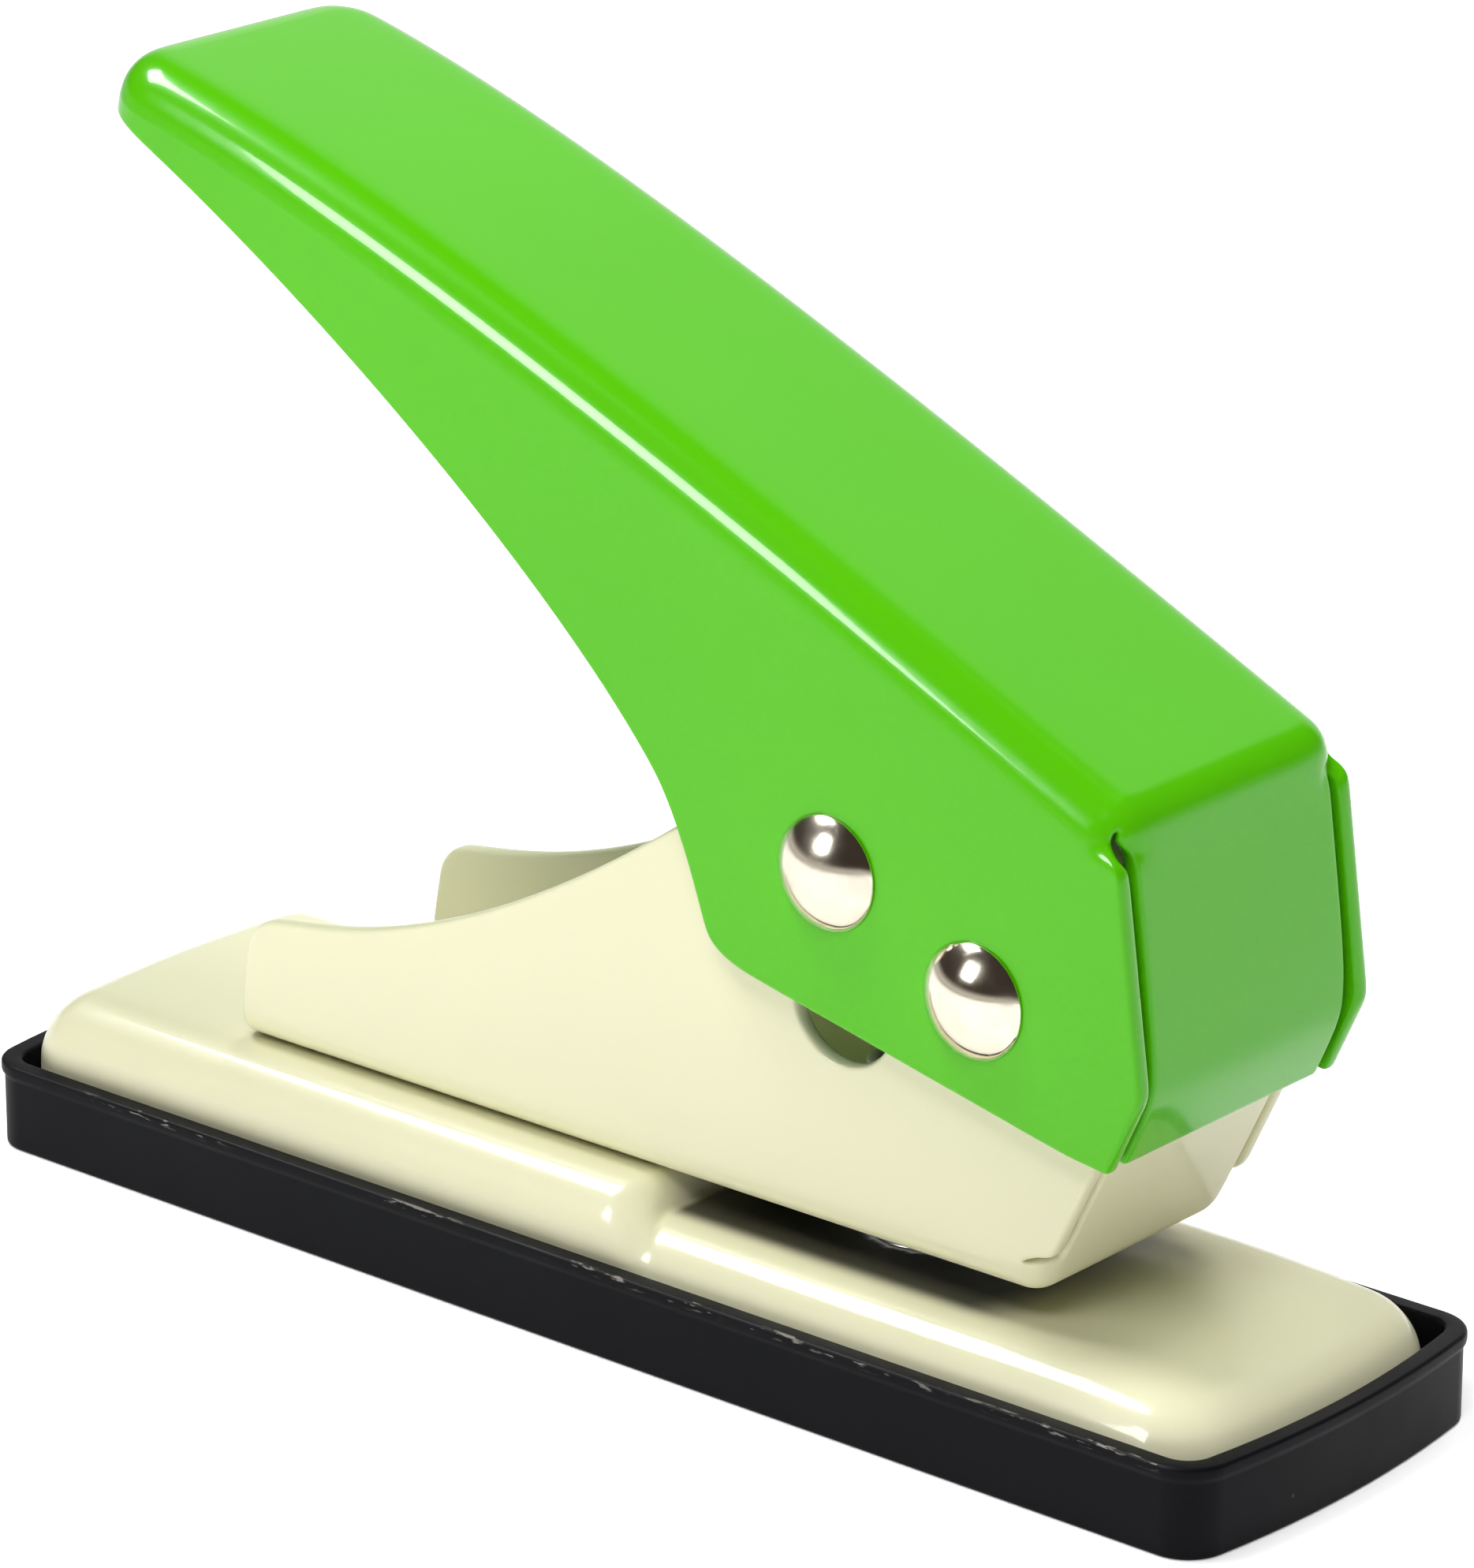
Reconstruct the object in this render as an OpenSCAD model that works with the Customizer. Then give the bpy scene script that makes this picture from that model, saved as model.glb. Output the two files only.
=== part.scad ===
// Mini hole punch for one 6 mm hole: a lever, a sprung punch and a pull-off chip tray.
// Millimetres. The origin is the middle of the tray's underside, +X points out of the
// throat and +Z points up. The punch is the same on both sides of the plane Y = 0.

/* [Tray] */
// Length over the bowed ends
tray_l = 106; // [96:1:130]
// Width over the rim bead
tray_w = 30; // [28:0.5:40]
// Height of the rim
tray_h = 6.2; // [5:0.1:8]
// Thickness of the wall
tray_wall = 1.15; // [0.8:0.05:1.6]
// Thickness of the floor
tray_floor = 1.2; // [0.8:0.1:2]
// Radius of the corners seen from above
tray_corner_r = 3.2; // [2:0.1:6]
// How far each end bows out in the middle
end_bow = 1.3; // [0.5:0.1:3]
// How far the bead round the rim stands proud
rim_bead = 0.2; // [0.1:0.05:0.5]
// Height of the bead
rim_bead_h = 0.9; // [0.6:0.1:1.5]
// Bevel round the underside and the rim
tray_bevel = 0.25; // [0.1:0.05:0.4]

/* [Base] */
// Clearance between the base and the tray's wall at the sides and the rear
base_gap = 0.25; // [0.15:0.05:0.6]
// Clearance between the base and the tray's wall at the front
base_front_gap = 0.5; // [0.2:0.1:3]
// Thickness of the pressed sheet
base_t = 1; // [0.6:0.1:1.4]
// Radius of the corners seen from above
base_corner_r = 4.6; // [4.4:0.1:9]
// Radius of the pressed top edge
base_edge_r = 4; // [2.5:0.1:4.2]
// Height of the raised platform above the ground
platform_z = 11.1; // [9.5:0.1:14]
// Height of the throat that takes the paper
throat_gap = 2.2; // [1:0.1:3]
// Distance of the paper stop from the punch
hole_margin = 14.2; // [10:0.1:16]
// Length of the step that makes the paper stop
step_run = 2.2; // [1.6:0.2:6]
// How far the front platform falls away at its end
nose_drop = 0.9; // [0:0.1:2]
// Length over which it falls away
nose_run = 18; // [10:1:24]

/* [Frame] */
// Width over the sides
frame_w = 20; // [17:0.2:20.4]
// Thickness of the sheet
frame_t = 1.2; // [0.8:0.1:1.5]
// Outer radius of the two bends along the web
frame_bend_r = 2.3; // [1.8:0.1:2.8]
// Distance of the rear end behind the origin
frame_back = 32.7; // [28:0.1:38]
// Height of the sides at the rear end
frame_rear_h = 9.35; // [7:0.05:11]
// How far the rear edge leans forward
frame_rear_lean = 1.2; // [0:0.1:3]
// Radius of the rear top corners
frame_rear_r = 3; // [1:0.1:4]
// How far the top edge rises over its first, flatter half
frame_rise = 1.7; // [0:0.1:4]
// Slope of the top edge where it meets the rounded top, in degrees
frame_sweep = 29; // [26:0.5:36]
// Width of sheet left round the top of the slot
slot_wall = 4.3; // [3:0.1:5]
// Radius of the sides round the pivot
pivot_wall_r = 10.2; // [7:0.1:10.4]
// Distance of the web's front edge ahead of the pivot
frame_front = 3.4; // [2:0.1:4.4]
// Lean of the front edge from upright, in degrees
frame_lean = 25.4; // [22:0.2:27]
// Height of the front flap above the web's underside
frame_flap_h = 10.2; // [7:0.1:10.4]
// Outer radius of the flap's bend
frame_flap_r = 2.6; // [2:0.1:3.5]
// Width of the slit between a flap and a side, on frame and lever
flap_slit = 0.3; // [0.2:0.05:0.5]
// Length of the relief cut in a side, over the flap's corner
relief_l = 1.7; // [1:0.1:3]
// Height of the relief cut
relief_h = 0.4; // [0.3:0.1:1]
// Radius of the drawn corners under the relief cuts
drawn_r = 2.4; // [1:0.1:3]

/* [Mechanism] */
// Distance of the pivot ahead of the origin
pivot_x = 31.9; // [29:0.1:34]
// Height of the pivot above the frame's underside
pivot_h = 19.6; // [18.5:0.1:21]
// Distance of the drive rivet behind the pivot
drive_back = 11.6; // [10.5:0.1:12.5]
// Height of the drive rivet above the pivot
drive_up = 5.5; // [4.5:0.1:6.5]
// Angle that the lever turns through, in degrees
stroke_deg = 38; // [30:1:40]
// Diameter of both rivets' shanks
shank_d = 5; // [4:0.1:5.6]
// Diameter of the domed heads
head_d = 7.6; // [6.6:0.1:9]
// Height of the domed heads
head_h = 1.9; // [1:0.1:2.4]
// Outer diameter of the sleeve on the drive rivet
sleeve_d = 7.6; // [6.6:0.1:8.4]
// Outer diameter of the spacer on the pivot rivet
spacer_d = 8; // [6.8:0.1:9]
// Clearance round a shaft that turns or slides
run_gap = 0.05; // [0.02:0.01:0.1]
// Clearance round a piece that is pressed in
press_gap = 0.02; // [0.01:0.01:0.04]
// Clearance between the drive rivet and the rear of its slot
slot_gap = 0.3; // [0.2:0.05:0.6]
// Clearance between the drive rivet and the front of its slot
slot_ahead = 1.4; // [0.2:0.1:2]
// How far the slot runs on below the drive rivet's lowest place
slot_below = 2.4; // [0.3:0.1:3]

/* [Punch] */
// Diameter of the punch and of the hole that it makes
punch_d = 6; // [5:0.1:6.5]
// How far the punch's points stay above the throat at rest
punch_lift = 0.5; // [0.2:0.1:1.5]
// Radius of the hollow ground in the punch's end
punch_grind_r = 5; // [4:0.2:8]
// Depth of the groove for the retaining ring
groove_depth = 0.6; // [0.4:0.1:0.8]
// Distance of the ring's upper face below the punch's top
ring_down = 2.2; // [1.2:0.1:3]
// Thickness of the retaining ring
ring_t = 0.8; // [0.6:0.1:1.2]
// Outer diameter of the retaining ring
ring_d = 9.6; // [9:0.1:10]
// Outer diameter of the guide's neck in the web
guide_d = 9; // [8:0.1:10]
// Outer diameter of the guide's flange
guide_flange_d = 12; // [11:0.1:13]
// Thickness of the guide's flange
guide_flange_t = 1; // [0.6:0.1:1.6]
// Outer diameter of the die
die_d = 8.4; // [8:0.1:10]
// Height of the die
die_h = 2.4; // [2.2:0.1:3]
// Outer diameter of the flange under the base
die_flange_d = 12; // [11:0.1:13]
// Thickness of the flange under the base
die_flange_t = 0.8; // [0.5:0.1:1]

/* [Spring] */
// Wire of the return spring
wire_d = 0.9; // [0.6:0.05:1]
// Mean diameter of the coil
coil_d = 8; // [7.9:0.05:8.4]
// Number of turns
coil_turns = 6; // [4:1:7]

/* [Lever] */
// Clearance between the lever's sides and the frame's
lever_gap = 0.5; // [0.2:0.05:0.8]
// Thickness of the sheet
lever_t = 1.2; // [0.8:0.1:1.4]
// Outer radius of the bends along the top
lever_bend_r = 3.2; // [2:0.1:4]
// Distance of the nose behind the pivot, to the middle of its top bend
nose_back = 70.9; // [60:0.1:76]
// Height of the nose above the pivot, to the middle of its top bend
nose_up = 43.9; // [36:0.1:48]
// Radius of the nose's corners seen from above
nose_r = 4.6; // [4.2:0.1:8]
// Slope of the top at the nose, in degrees
tail_slope = 13.5; // [10:0.5:18]
// Slope of the top at the front, in degrees
front_slope = 25.3; // [22:0.1:27]
// How far the lever's flap lies behind its sides' front edges
flap_recess = 0.1; // [0.05:0.05:0.3]

/* [Frame rivets] */
// Distance of the front rivet behind the origin
rivet_front_back = 6; // [4:0.5:10]
// Distance of the rear rivet ahead of the frame's rear end
rivet_rear_in = 6.7; // [5:0.1:12]
// Diameter of the rivets' shanks
rivet_d = 3.5; // [2.5:0.1:4.5]
// Diameter of the rivets' heads
rivet_head_d = 6.4; // [5.5:0.1:8]
// Height of the rivets' heads
rivet_head_h = 1.4; // [0.8:0.1:2]

/* [Hidden] */
$fn = 64;

// Colours of the finishes
green = "#62cf2c";
cream = "#efecd2";
black = "#262428";
nickel = "#d9d9d6";
steel = "#9a9ca0";

// A little more than the sheet, so that a cut goes right through
past = 1;

// Points in the plane of the lever's swing are [x, z]
pivot = [pivot_x, platform_z + pivot_h];
drive = pivot + [-drive_back, drive_up];
drive_arm = norm([drive_back, drive_up]);
drive_rise = atan2(drive_up, drive_back);

// Furthest back that the drive rivet swings, lowest that it goes
drive_far_x = pivot.x - drive_arm;
drive_drop = drive_arm * (sin(drive_rise) - sin(drive_rise - stroke_deg));
punch_x = (drive.x + drive_far_x) / 2;

// Slot in the frame's sides: wide enough for the rivet's swing
slot_rear = drive_far_x - shank_d / 2 - slot_gap;
slot_front = drive.x + shank_d / 2 + slot_ahead;
slot_r = (slot_front - slot_rear) / 2;
slot_top = [slot_rear + slot_r, drive.y + shank_d / 2 + slot_gap - slot_r];
slot_low = [slot_rear + slot_r, drive.y - drive_drop - shank_d / 2 - slot_below + slot_r];

// Heights of the punch's pieces
web_top = platform_z + frame_t;
front_z = platform_z - throat_gap;
punch_top = drive.y - sleeve_d / 2 - run_gap;
punch_tip = platform_z + punch_lift;
ring_z = punch_top - ring_down - ring_t;
guide_top = web_top + guide_flange_t;

// The lever goes over the frame, so its width follows the frame's
lever_in = frame_w / 2 + lever_gap;
lever_w = 2 * (lever_in + lever_t);
frame_in = frame_w / 2 - frame_t;

// The rear rivet keeps its place in the frame
rivet_rear_back = frame_back - rivet_rear_in;

// Curves and outlines as lists of points

function arc(c, r, a0, a1, n = 8) =
    [for (i = [0:n]) let (a = a0 + (a1 - a0) * i / n) c + r * [cos(a), sin(a)]];

function bezier(p, t) =
    let (s = 1 - t)
    s * s * s * p[0] + 3 * s * s * t * p[1] + 3 * s * t * t * p[2] + t * t * t * p[3];

function curve(p, n = 10) = [for (i = [0:n]) bezier(p, i / n)];

function flip_x(points) = [for (i = [len(points) - 1:-1:0]) [-points[i].x, points[i].y]];

// Half of a bowed rectangle, from the middle of its rear end round to its front end
function bowed_half(l, w, r, bow, stations = []) =
    let (
        b = w / 2,
        bow_r = (b * b + bow * bow) / (2 * bow),
        meet = asin((b - r) / (bow_r - r)),
        corner = [l / 2 - bow_r + (bow_r - r) * cos(meet), b - r],
        end = arc([l / 2 - bow_r, 0], bow_r, meet, 0, 4),
        front = concat(arc(corner, r, 90, meet), [for (i = [1:4]) end[i]])
    )
    concat(flip_x(front), [for (x = stations) [x, b]], front);

function both_halves(half) =
    concat(half, [for (i = [len(half) - 2:-1:1]) [half[i].x, -half[i].y]]);

function at_height(outline, z) = [for (p = outline) [p.x, p.y, z]];

// Closed solid between the rings of a shell, listed from its inner or lower middle,
// round its rim, to its upper middle. The ends are closed by strips from side to side.
module ring_shell(rings) {
    n = len(rings[0]);
    last = (len(rings) - 1) * n;
    mid = n / 2;
    walls = [for (j = [0:len(rings) - 2], i = [0:n - 1])
        let (a = j * n + i, b = j * n + (i + 1) % n)
        each [[a, b, b + n], [a, b + n, a + n]]];
    strips = concat(
        [[0, 1, n - 1]],
        [for (i = [1:mid - 2]) each [[i, i + 1, n - i - 1], [i, n - i - 1, n - i]]],
        [[mid - 1, mid, mid + 1]]);
    polyhedron(
        points = [for (r = rings) each r],
        faces = concat(
            [for (f = strips) [f[2], f[1], f[0]]],
            walls,
            [for (f = strips) [f[0] + last, f[1] + last, f[2] + last]]));
}

// Extrudes an [x, z] outline to half_w on both sides of Y = 0
module across(half_w) {
    rotate([90, 0, 0])
        linear_extrude(2 * half_w, center = true)
            children();
}

// Cylinder along Y through an [x, z] point
module bar_y(at, d, len) {
    translate([at.x, 0, at.y])
        rotate([90, 0, 0])
            cylinder(d = d, h = len, center = true);
}

// Ring along Y with its middle at y
module ring_y(at, y, d, bore, len) {
    translate([0, y, 0])
        difference() {
            bar_y(at, d, len);
            bar_y(at, bore, len + 2 * past);
        }
}

// Domed head standing on z = 0
module dome(d, h) {
    ball_r = (d * d / 4 + h * h) / (2 * h);
    intersection() {
        translate([0, 0, h - ball_r])
            sphere(r = ball_r);
        cylinder(d = d, h = 2 * h);
    }
}

// Tray

function tray_outline(inset) =
    both_halves(bowed_half(tray_l - 2 * inset, tray_w - 2 * inset,
                           max(tray_corner_r - inset, tray_bevel), end_bow));

module chip_tray() {
    wall_in = rim_bead + tray_wall;
    bead_z = tray_h - rim_bead_h;
    profile = [
        [rim_bead + tray_bevel, 0],
        [rim_bead, tray_bevel],
        [rim_bead, bead_z],
        [0, bead_z + rim_bead],
        [0, tray_h - tray_bevel],
        [tray_bevel, tray_h],
        [wall_in - tray_bevel, tray_h],
        [wall_in, tray_h - tray_bevel],
        [wall_in, tray_floor]];
    color(black)
        ring_shell([for (p = profile) at_height(tray_outline(p[0]), p[1])]);
}

// Base

base_w = tray_w - 2 * (rim_bead + tray_wall + base_gap);
base_rear = rim_bead + tray_wall + base_gap - tray_l / 2;
base_front = tray_l / 2 - rim_bead - tray_wall - base_front_gap;
base_l = base_front - base_rear;
base_mid = (base_front + base_rear) / 2;
step_foot = punch_x - hole_margin;
// Steps along the paper stop, the falling front and the pressed edge
step_n = 8;
nose_n = 4;
edge_n = 4;
nose_x = base_front - nose_run;

// Height of the pressed top above the ground: platform, step, front platform, fall
function base_top(x) =
    let (
        s = min(max((step_foot - x) / step_run, 0), 1),
        f = max(x - nose_x, 0) / nose_run
    )
    front_z + throat_gap * s * s * (3 - 2 * s) - nose_drop * f * f;

base_stations = concat(
    [for (i = [0:step_n]) step_foot - step_run * (1 - i / step_n)],
    [for (i = [0:nose_n]) nose_x + (nose_run - base_corner_r) * i / (nose_n + 1)]);

function base_outline(inset) =
    [for (p = both_halves(bowed_half(base_l - 2 * inset, base_w - 2 * inset,
                                     base_corner_r - inset, end_bow,
                                     [for (x = base_stations) x - base_mid])))
        p + [base_mid, 0]];

// One ring of the pressed edge, at angle a from upright wall to flat top
function base_ring(skin, a) =
    let (r = base_edge_r - skin)
    [for (p = base_outline(skin + r * (1 - cos(a))))
        [p.x, p.y, base_top(p.x) - base_edge_r + r * sin(a)]];

module base_shell() {
    ring_shell(concat(
        [for (i = [edge_n:-1:0]) base_ring(base_t, 90 * i / edge_n)],
        [at_height(base_outline(base_t), tray_floor)],
        [at_height(base_outline(0), tray_floor)],
        [for (i = [0:edge_n]) base_ring(0, 90 * i / edge_n)]));
}

module base() {
    color(cream)
        difference() {
            base_shell();
            translate([punch_x, 0, front_z - base_t - past])
                cylinder(d = die_d + 2 * press_gap, h = base_t + 2 * past);
            for (x = [-rivet_front_back, -rivet_rear_back])
                translate([x, 0, platform_z - base_t - past])
                    cylinder(d = rivet_d + 2 * press_gap, h = base_t + 2 * past);
        }
}

module die_bush() {
    color(steel)
        difference() {
            union() {
                translate([punch_x, 0, front_z - die_h])
                    cylinder(d = die_d, h = die_h);
                translate([punch_x, 0, front_z - base_t - die_flange_t])
                    cylinder(d = die_flange_d, h = die_flange_t);
            }
            translate([punch_x, 0, front_z - die_h - past])
                cylinder(d = punch_d + 2 * run_gap, h = die_h + 2 * past);
        }
}

// Frame

// How far below level the rounding about the pivot ends, in degrees
pivot_turn = 20;
// Shares of the sides' top edge that hold the slopes of its rear and front ends
sweep_hold = [0.457, 0.148];

// Front edge: a line that leans forward from the web's underside
function frame_front_at(h) = [pivot.x + frame_front + h * tan(frame_lean), platform_z + h];

function frame_side() =
    let (
        rear = [-frame_back, platform_z],
        corner = [-frame_back + frame_rear_lean + frame_rear_r,
                  platform_z + frame_rear_h - frame_rear_r],
        hump_r = slot_r + slot_wall,
        away = pivot - slot_top,
        meet = atan2(away.y, away.x) + acos((hump_r - pivot_wall_r) / norm(away)),
        sweep_end = slot_top + hump_r * [-sin(frame_sweep), cos(frame_sweep)],
        sweep_from = corner + [0, frame_rear_r],
        run = sweep_end.x - sweep_from.x,
        sweep = [
            sweep_from,
            sweep_from + [run * sweep_hold[0], frame_rise],
            sweep_end - run * sweep_hold[1] * [1, tan(frame_sweep)],
            sweep_end]
    )
    concat(
        [rear],
        arc(corner, frame_rear_r, 180, 90),
        [for (i = [1:12]) bezier(sweep, i / 12)],
        arc(slot_top, hump_r, 90 + frame_sweep, meet, 6),
        arc(pivot, pivot_wall_r, meet, -pivot_turn, 12),
        [frame_front_at(frame_flap_h)],
        arc(flap_bend, frame_flap_r, -frame_lean, -90));

// Middle of the bend between the web and the front flap
flap_bend = [
    frame_front_at(frame_flap_r * (1 - sin(frame_lean))).x - frame_flap_r * cos(frame_lean),
    platform_z + frame_flap_r];

// Side view of the space between web, sides and flap, open over the flap's top
function frame_space() =
    let (
        r = frame_flap_r - frame_t,
        back = -frame_back - past,
        high = pivot.y + 2 * pivot_wall_r,
        flap_in = frame_front_at(frame_flap_h) - [frame_t / cos(frame_lean), 0]
    )
    concat(
        [[back, high], [back, platform_z], [flap_bend.x, platform_z]],
        arc(flap_bend, r, -90, -frame_lean),
        [flap_in, flap_in + [2 * pivot_wall_r, 0], [flap_in.x + 2 * pivot_wall_r, high]]);

// Cross-section inside two bends and the web, open at height h
module channel(half_w, r, low, h) {
    for (side = [-1, 1])
        translate([side * (half_w - r), low + r])
            circle(r);
    translate([-half_w, low + r])
        square([2 * half_w, h - low - r]);
    translate([r - half_w, low])
        square([2 * (half_w - r), r]);
}

// Extrudes a cross-section along X over the whole frame
module along_frame() {
    translate([-frame_back - past, 0, platform_z])
        rotate([90, 0, 90])
            linear_extrude(frame_back + pivot.x + 2 * pivot_wall_r)
                children();
}

module frame() {
    tall = slot_top.y + slot_r + slot_wall - platform_z + past;
    relief_z = frame_bend_r;
    relief = frame_front_at(relief_z) - [relief_l, 0];
    color(cream)
        difference() {
            intersection() {
                along_frame()
                    channel(frame_w / 2, frame_bend_r, 0, tall);
                across(frame_w)
                    polygon(frame_side());
            }
            intersection() {
                along_frame()
                    channel(frame_in, frame_bend_r - frame_t, frame_t, tall + past);
                across(frame_w)
                    polygon(frame_space());
            }
            // Slits that part the flap from the sides, over the drawn lower corners
            for (side = [-1, 1])
                translate([0, side * (frame_in - flap_slit / 2), 0])
                    across(flap_slit / 2)
                        polygon([
                            frame_front_at(relief_z) - [2 * frame_t, 0],
                            frame_front_at(relief_z) + [frame_t, 0],
                            frame_front_at(frame_flap_h + past) + [frame_t, 0],
                            frame_front_at(frame_flap_h + past) - [2 * frame_t, 0]]);
            for (side = [-1, 1])
                translate([0, side * (frame_in + frame_t / 2), 0]) {
                    translate([relief.x, -frame_t, relief.y])
                        cube([relief_l + past, 2 * frame_t, relief_h]);
                    bar_y(relief + [0, relief_h / 2], relief_h, 2 * frame_t);
                }
            // Rounding of the drawn corners, along the lean of the front edge
            for (side = [0, 1])
                mirror([0, side, 0])
                    translate([frame_front_at(0).x, frame_w / 2, platform_z])
                        rotate([0, frame_lean, 0])
                            difference() {
                                translate([-drawn_r, -drawn_r, -4 * drawn_r])
                                    cube([4 * drawn_r, 4 * drawn_r,
                                          4 * drawn_r + (relief_z + relief_h / 2) / cos(frame_lean)]);
                                translate([-drawn_r, -drawn_r, -5 * drawn_r])
                                    cylinder(r = drawn_r, h = 9 * drawn_r);
                            }
            for (at = [slot_low, slot_top])
                bar_y(at, 2 * slot_r, 2 * frame_w);
            translate([slot_rear, -frame_w, slot_low.y])
                cube([2 * slot_r, 2 * frame_w, slot_top.y - slot_low.y]);
            bar_y(pivot, shank_d + 2 * run_gap, 2 * frame_w);
            translate([punch_x, 0, platform_z - past])
                cylinder(d = guide_d + 2 * press_gap, h = frame_t + 2 * past);
            for (x = [-rivet_front_back, -rivet_rear_back])
                translate([x, 0, platform_z - past])
                    cylinder(d = rivet_d + 2 * press_gap, h = frame_t + 2 * past);
        }
}

// Rivet through the web and the base, headed above and below
module frame_rivet(x) {
    color(nickel)
        translate([x, 0, platform_z - base_t]) {
            cylinder(d = rivet_d, h = base_t + frame_t);
            translate([0, 0, base_t + frame_t])
                dome(rivet_head_d, rivet_head_h);
            mirror([0, 0, 1])
                dome(rivet_head_d, rivet_head_h);
        }
}

module frame_rivet_front() {
    frame_rivet(-rivet_front_back);
}

module frame_rivet_rear() {
    frame_rivet(-rivet_rear_back);
}

// Punch

module punch_guide() {
    color(steel)
        difference() {
            union() {
                translate([punch_x, 0, platform_z])
                    cylinder(d = guide_d, h = frame_t);
                translate([punch_x, 0, web_top])
                    cylinder(d = guide_flange_d, h = guide_flange_t);
            }
            translate([punch_x, 0, platform_z - past])
                cylinder(d = punch_d + 2 * run_gap, h = frame_t + guide_flange_t + 2 * past);
        }
}

module punch_pin() {
    groove_d = punch_d - 2 * groove_depth;
    color(steel)
        difference() {
            translate([punch_x, 0, punch_tip])
                cylinder(d = punch_d, h = punch_top - punch_tip);
            // Hollow ground across the end leaves two points that shear the paper
            bar_y([punch_x, punch_tip - sqrt(pow(punch_grind_r, 2) - pow(punch_d / 2, 2))],
                  2 * punch_grind_r, 2 * punch_d);
            translate([punch_x, 0, ring_z - press_gap])
                difference() {
                    cylinder(d = 2 * punch_d, h = ring_t + 2 * press_gap);
                    translate([0, 0, -past])
                        cylinder(d = groove_d, h = ring_t + 2 * past);
                }
        }
}

// Ring with an open side, clipped into the punch's groove
module retaining_ring() {
    bore = punch_d - 2 * groove_depth + 2 * press_gap;
    color(steel)
        translate([punch_x, 0, ring_z])
            difference() {
                cylinder(d = ring_d, h = ring_t);
                translate([0, 0, -past])
                    cylinder(d = bore, h = ring_t + 2 * past);
                translate([0, -bore * 0.4, -past])
                    cube([ring_d, bore * 0.8, ring_t + 2 * past]);
            }
}

// Return spring: one tube swept along a helix, with short upright ends on its seats

coil_steps = 8;
wire_sides = 6;
coil_rise = ring_z - guide_top - 2 * wire_d;

function coil_at(turn) = [
    punch_x + coil_d / 2 * cos(360 * turn),
    coil_d / 2 * sin(360 * turn),
    guide_top + wire_d + coil_rise * turn / coil_turns];

spring_turns = concat([0], [for (i = [0:coil_turns * coil_steps]) i / coil_steps], [coil_turns]);
spring_path = concat(
    [coil_at(0) - [0, 0, wire_d]],
    [for (i = [0:coil_turns * coil_steps]) coil_at(i / coil_steps)],
    [coil_at(coil_turns) + [0, 0, wire_d]]);

function unit(v) = v / norm(v);

function spring_ring(i) =
    let (
        n = len(spring_path) - 1,
        ahead = unit(spring_path[min(i + 1, n)] - spring_path[max(i - 1, 0)]),
        turn = 360 * spring_turns[i],
        out = [cos(turn), sin(turn), 0],
        side = unit(cross(ahead, out)),
        level = cross(side, ahead)
    )
    [for (k = [0:wire_sides - 1])
        let (a = 360 * k / wire_sides)
        spring_path[i] + wire_d / 2 * (cos(a) * level + sin(a) * side)];

// Least distance between turns, from points at least half a turn apart, less the wire
spring_last = len(spring_path) - 1;
spring_gap = min([for (i = [0:spring_last], j = [i + coil_steps / 2:spring_last])
    norm(spring_path[i] - spring_path[j])]) - wire_d;

module return_spring() {
    rings = [for (i = [0:len(spring_path) - 1]) spring_ring(i)];
    s = wire_sides;
    last = (len(rings) - 1) * s;
    echo(least_gap_between_turns = spring_gap);
    color(nickel)
        polyhedron(
            points = [for (r = rings) each r],
            faces = concat(
                [for (k = [1:s - 2]) [0, k, k + 1]],
                [for (j = [0:len(rings) - 2], k = [0:s - 1])
                    let (a = j * s + k, b = j * s + (k + 1) % s)
                    each [[a, a + s, b + s], [a, b + s, b]]],
                [for (k = [1:s - 2]) [last, last + k + 1, last + k]]));
}

// Lever, in [x, z] from the pivot

// Middle of the top bends at the nose and at the front
ridge_tail = [-nose_back, nose_up];
ridge_front = [7.5, 11.95];
// Lower edge: nose, knee where it turns down, heel, and the straight lower edge
tail_low = ridge_tail - [0.6, 1.2];
knee = [-26.15, 9.3];
heel = [-21.6, -0.6];
sole_rear = [-17.6, -3.05];
sole_front = [10.04, -9.03];
// Front edge: toe, kink where it turns in, start of the top bend
toe = [10.3, -8.75];
kink = [12.8, -3.3];
brow = [10.66, 12.4];
// Lengths of the flap's bend above and below the kink
bend_above = 8;
bend_below = 5;
// How far the top holds its slope at the nose and at the front
hold_tail = 19;
hold_front = 36;
// Places along the top that carry its bends, as shares of the curve
ridge_shares = [0.12, 0.28, 0.5, 0.75, 1];
// Lowest point of the solid that the lever is cut from, from the rear of its sole
block_low = [-14, -6];
// How far the hollow runs on below that
hollow_deep = 12;
// Where the sides' front edges meet the top bends
front_up = unit(brow - kink);
front_square = [sin(front_slope), cos(front_slope)];
cheek = kink + front_up * ((ridge_front - kink) * front_square) / (front_up * front_square);

ridge = [
    ridge_tail,
    ridge_tail + hold_tail * [cos(tail_slope), -sin(tail_slope)],
    ridge_front - hold_front * [cos(front_slope), -sin(front_slope)],
    ridge_front];
belly = [tail_low, tail_low + [15.4, -7.6], knee + [-8.95, 11], knee];
shin = [knee, knee + [1.75, -1.9], heel + [-1.1, 3.6], heel];
heel_bend = [heel, heel + [0.3, -1.1], sole_rear + [-2.4, 0.5], sole_rear];

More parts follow.
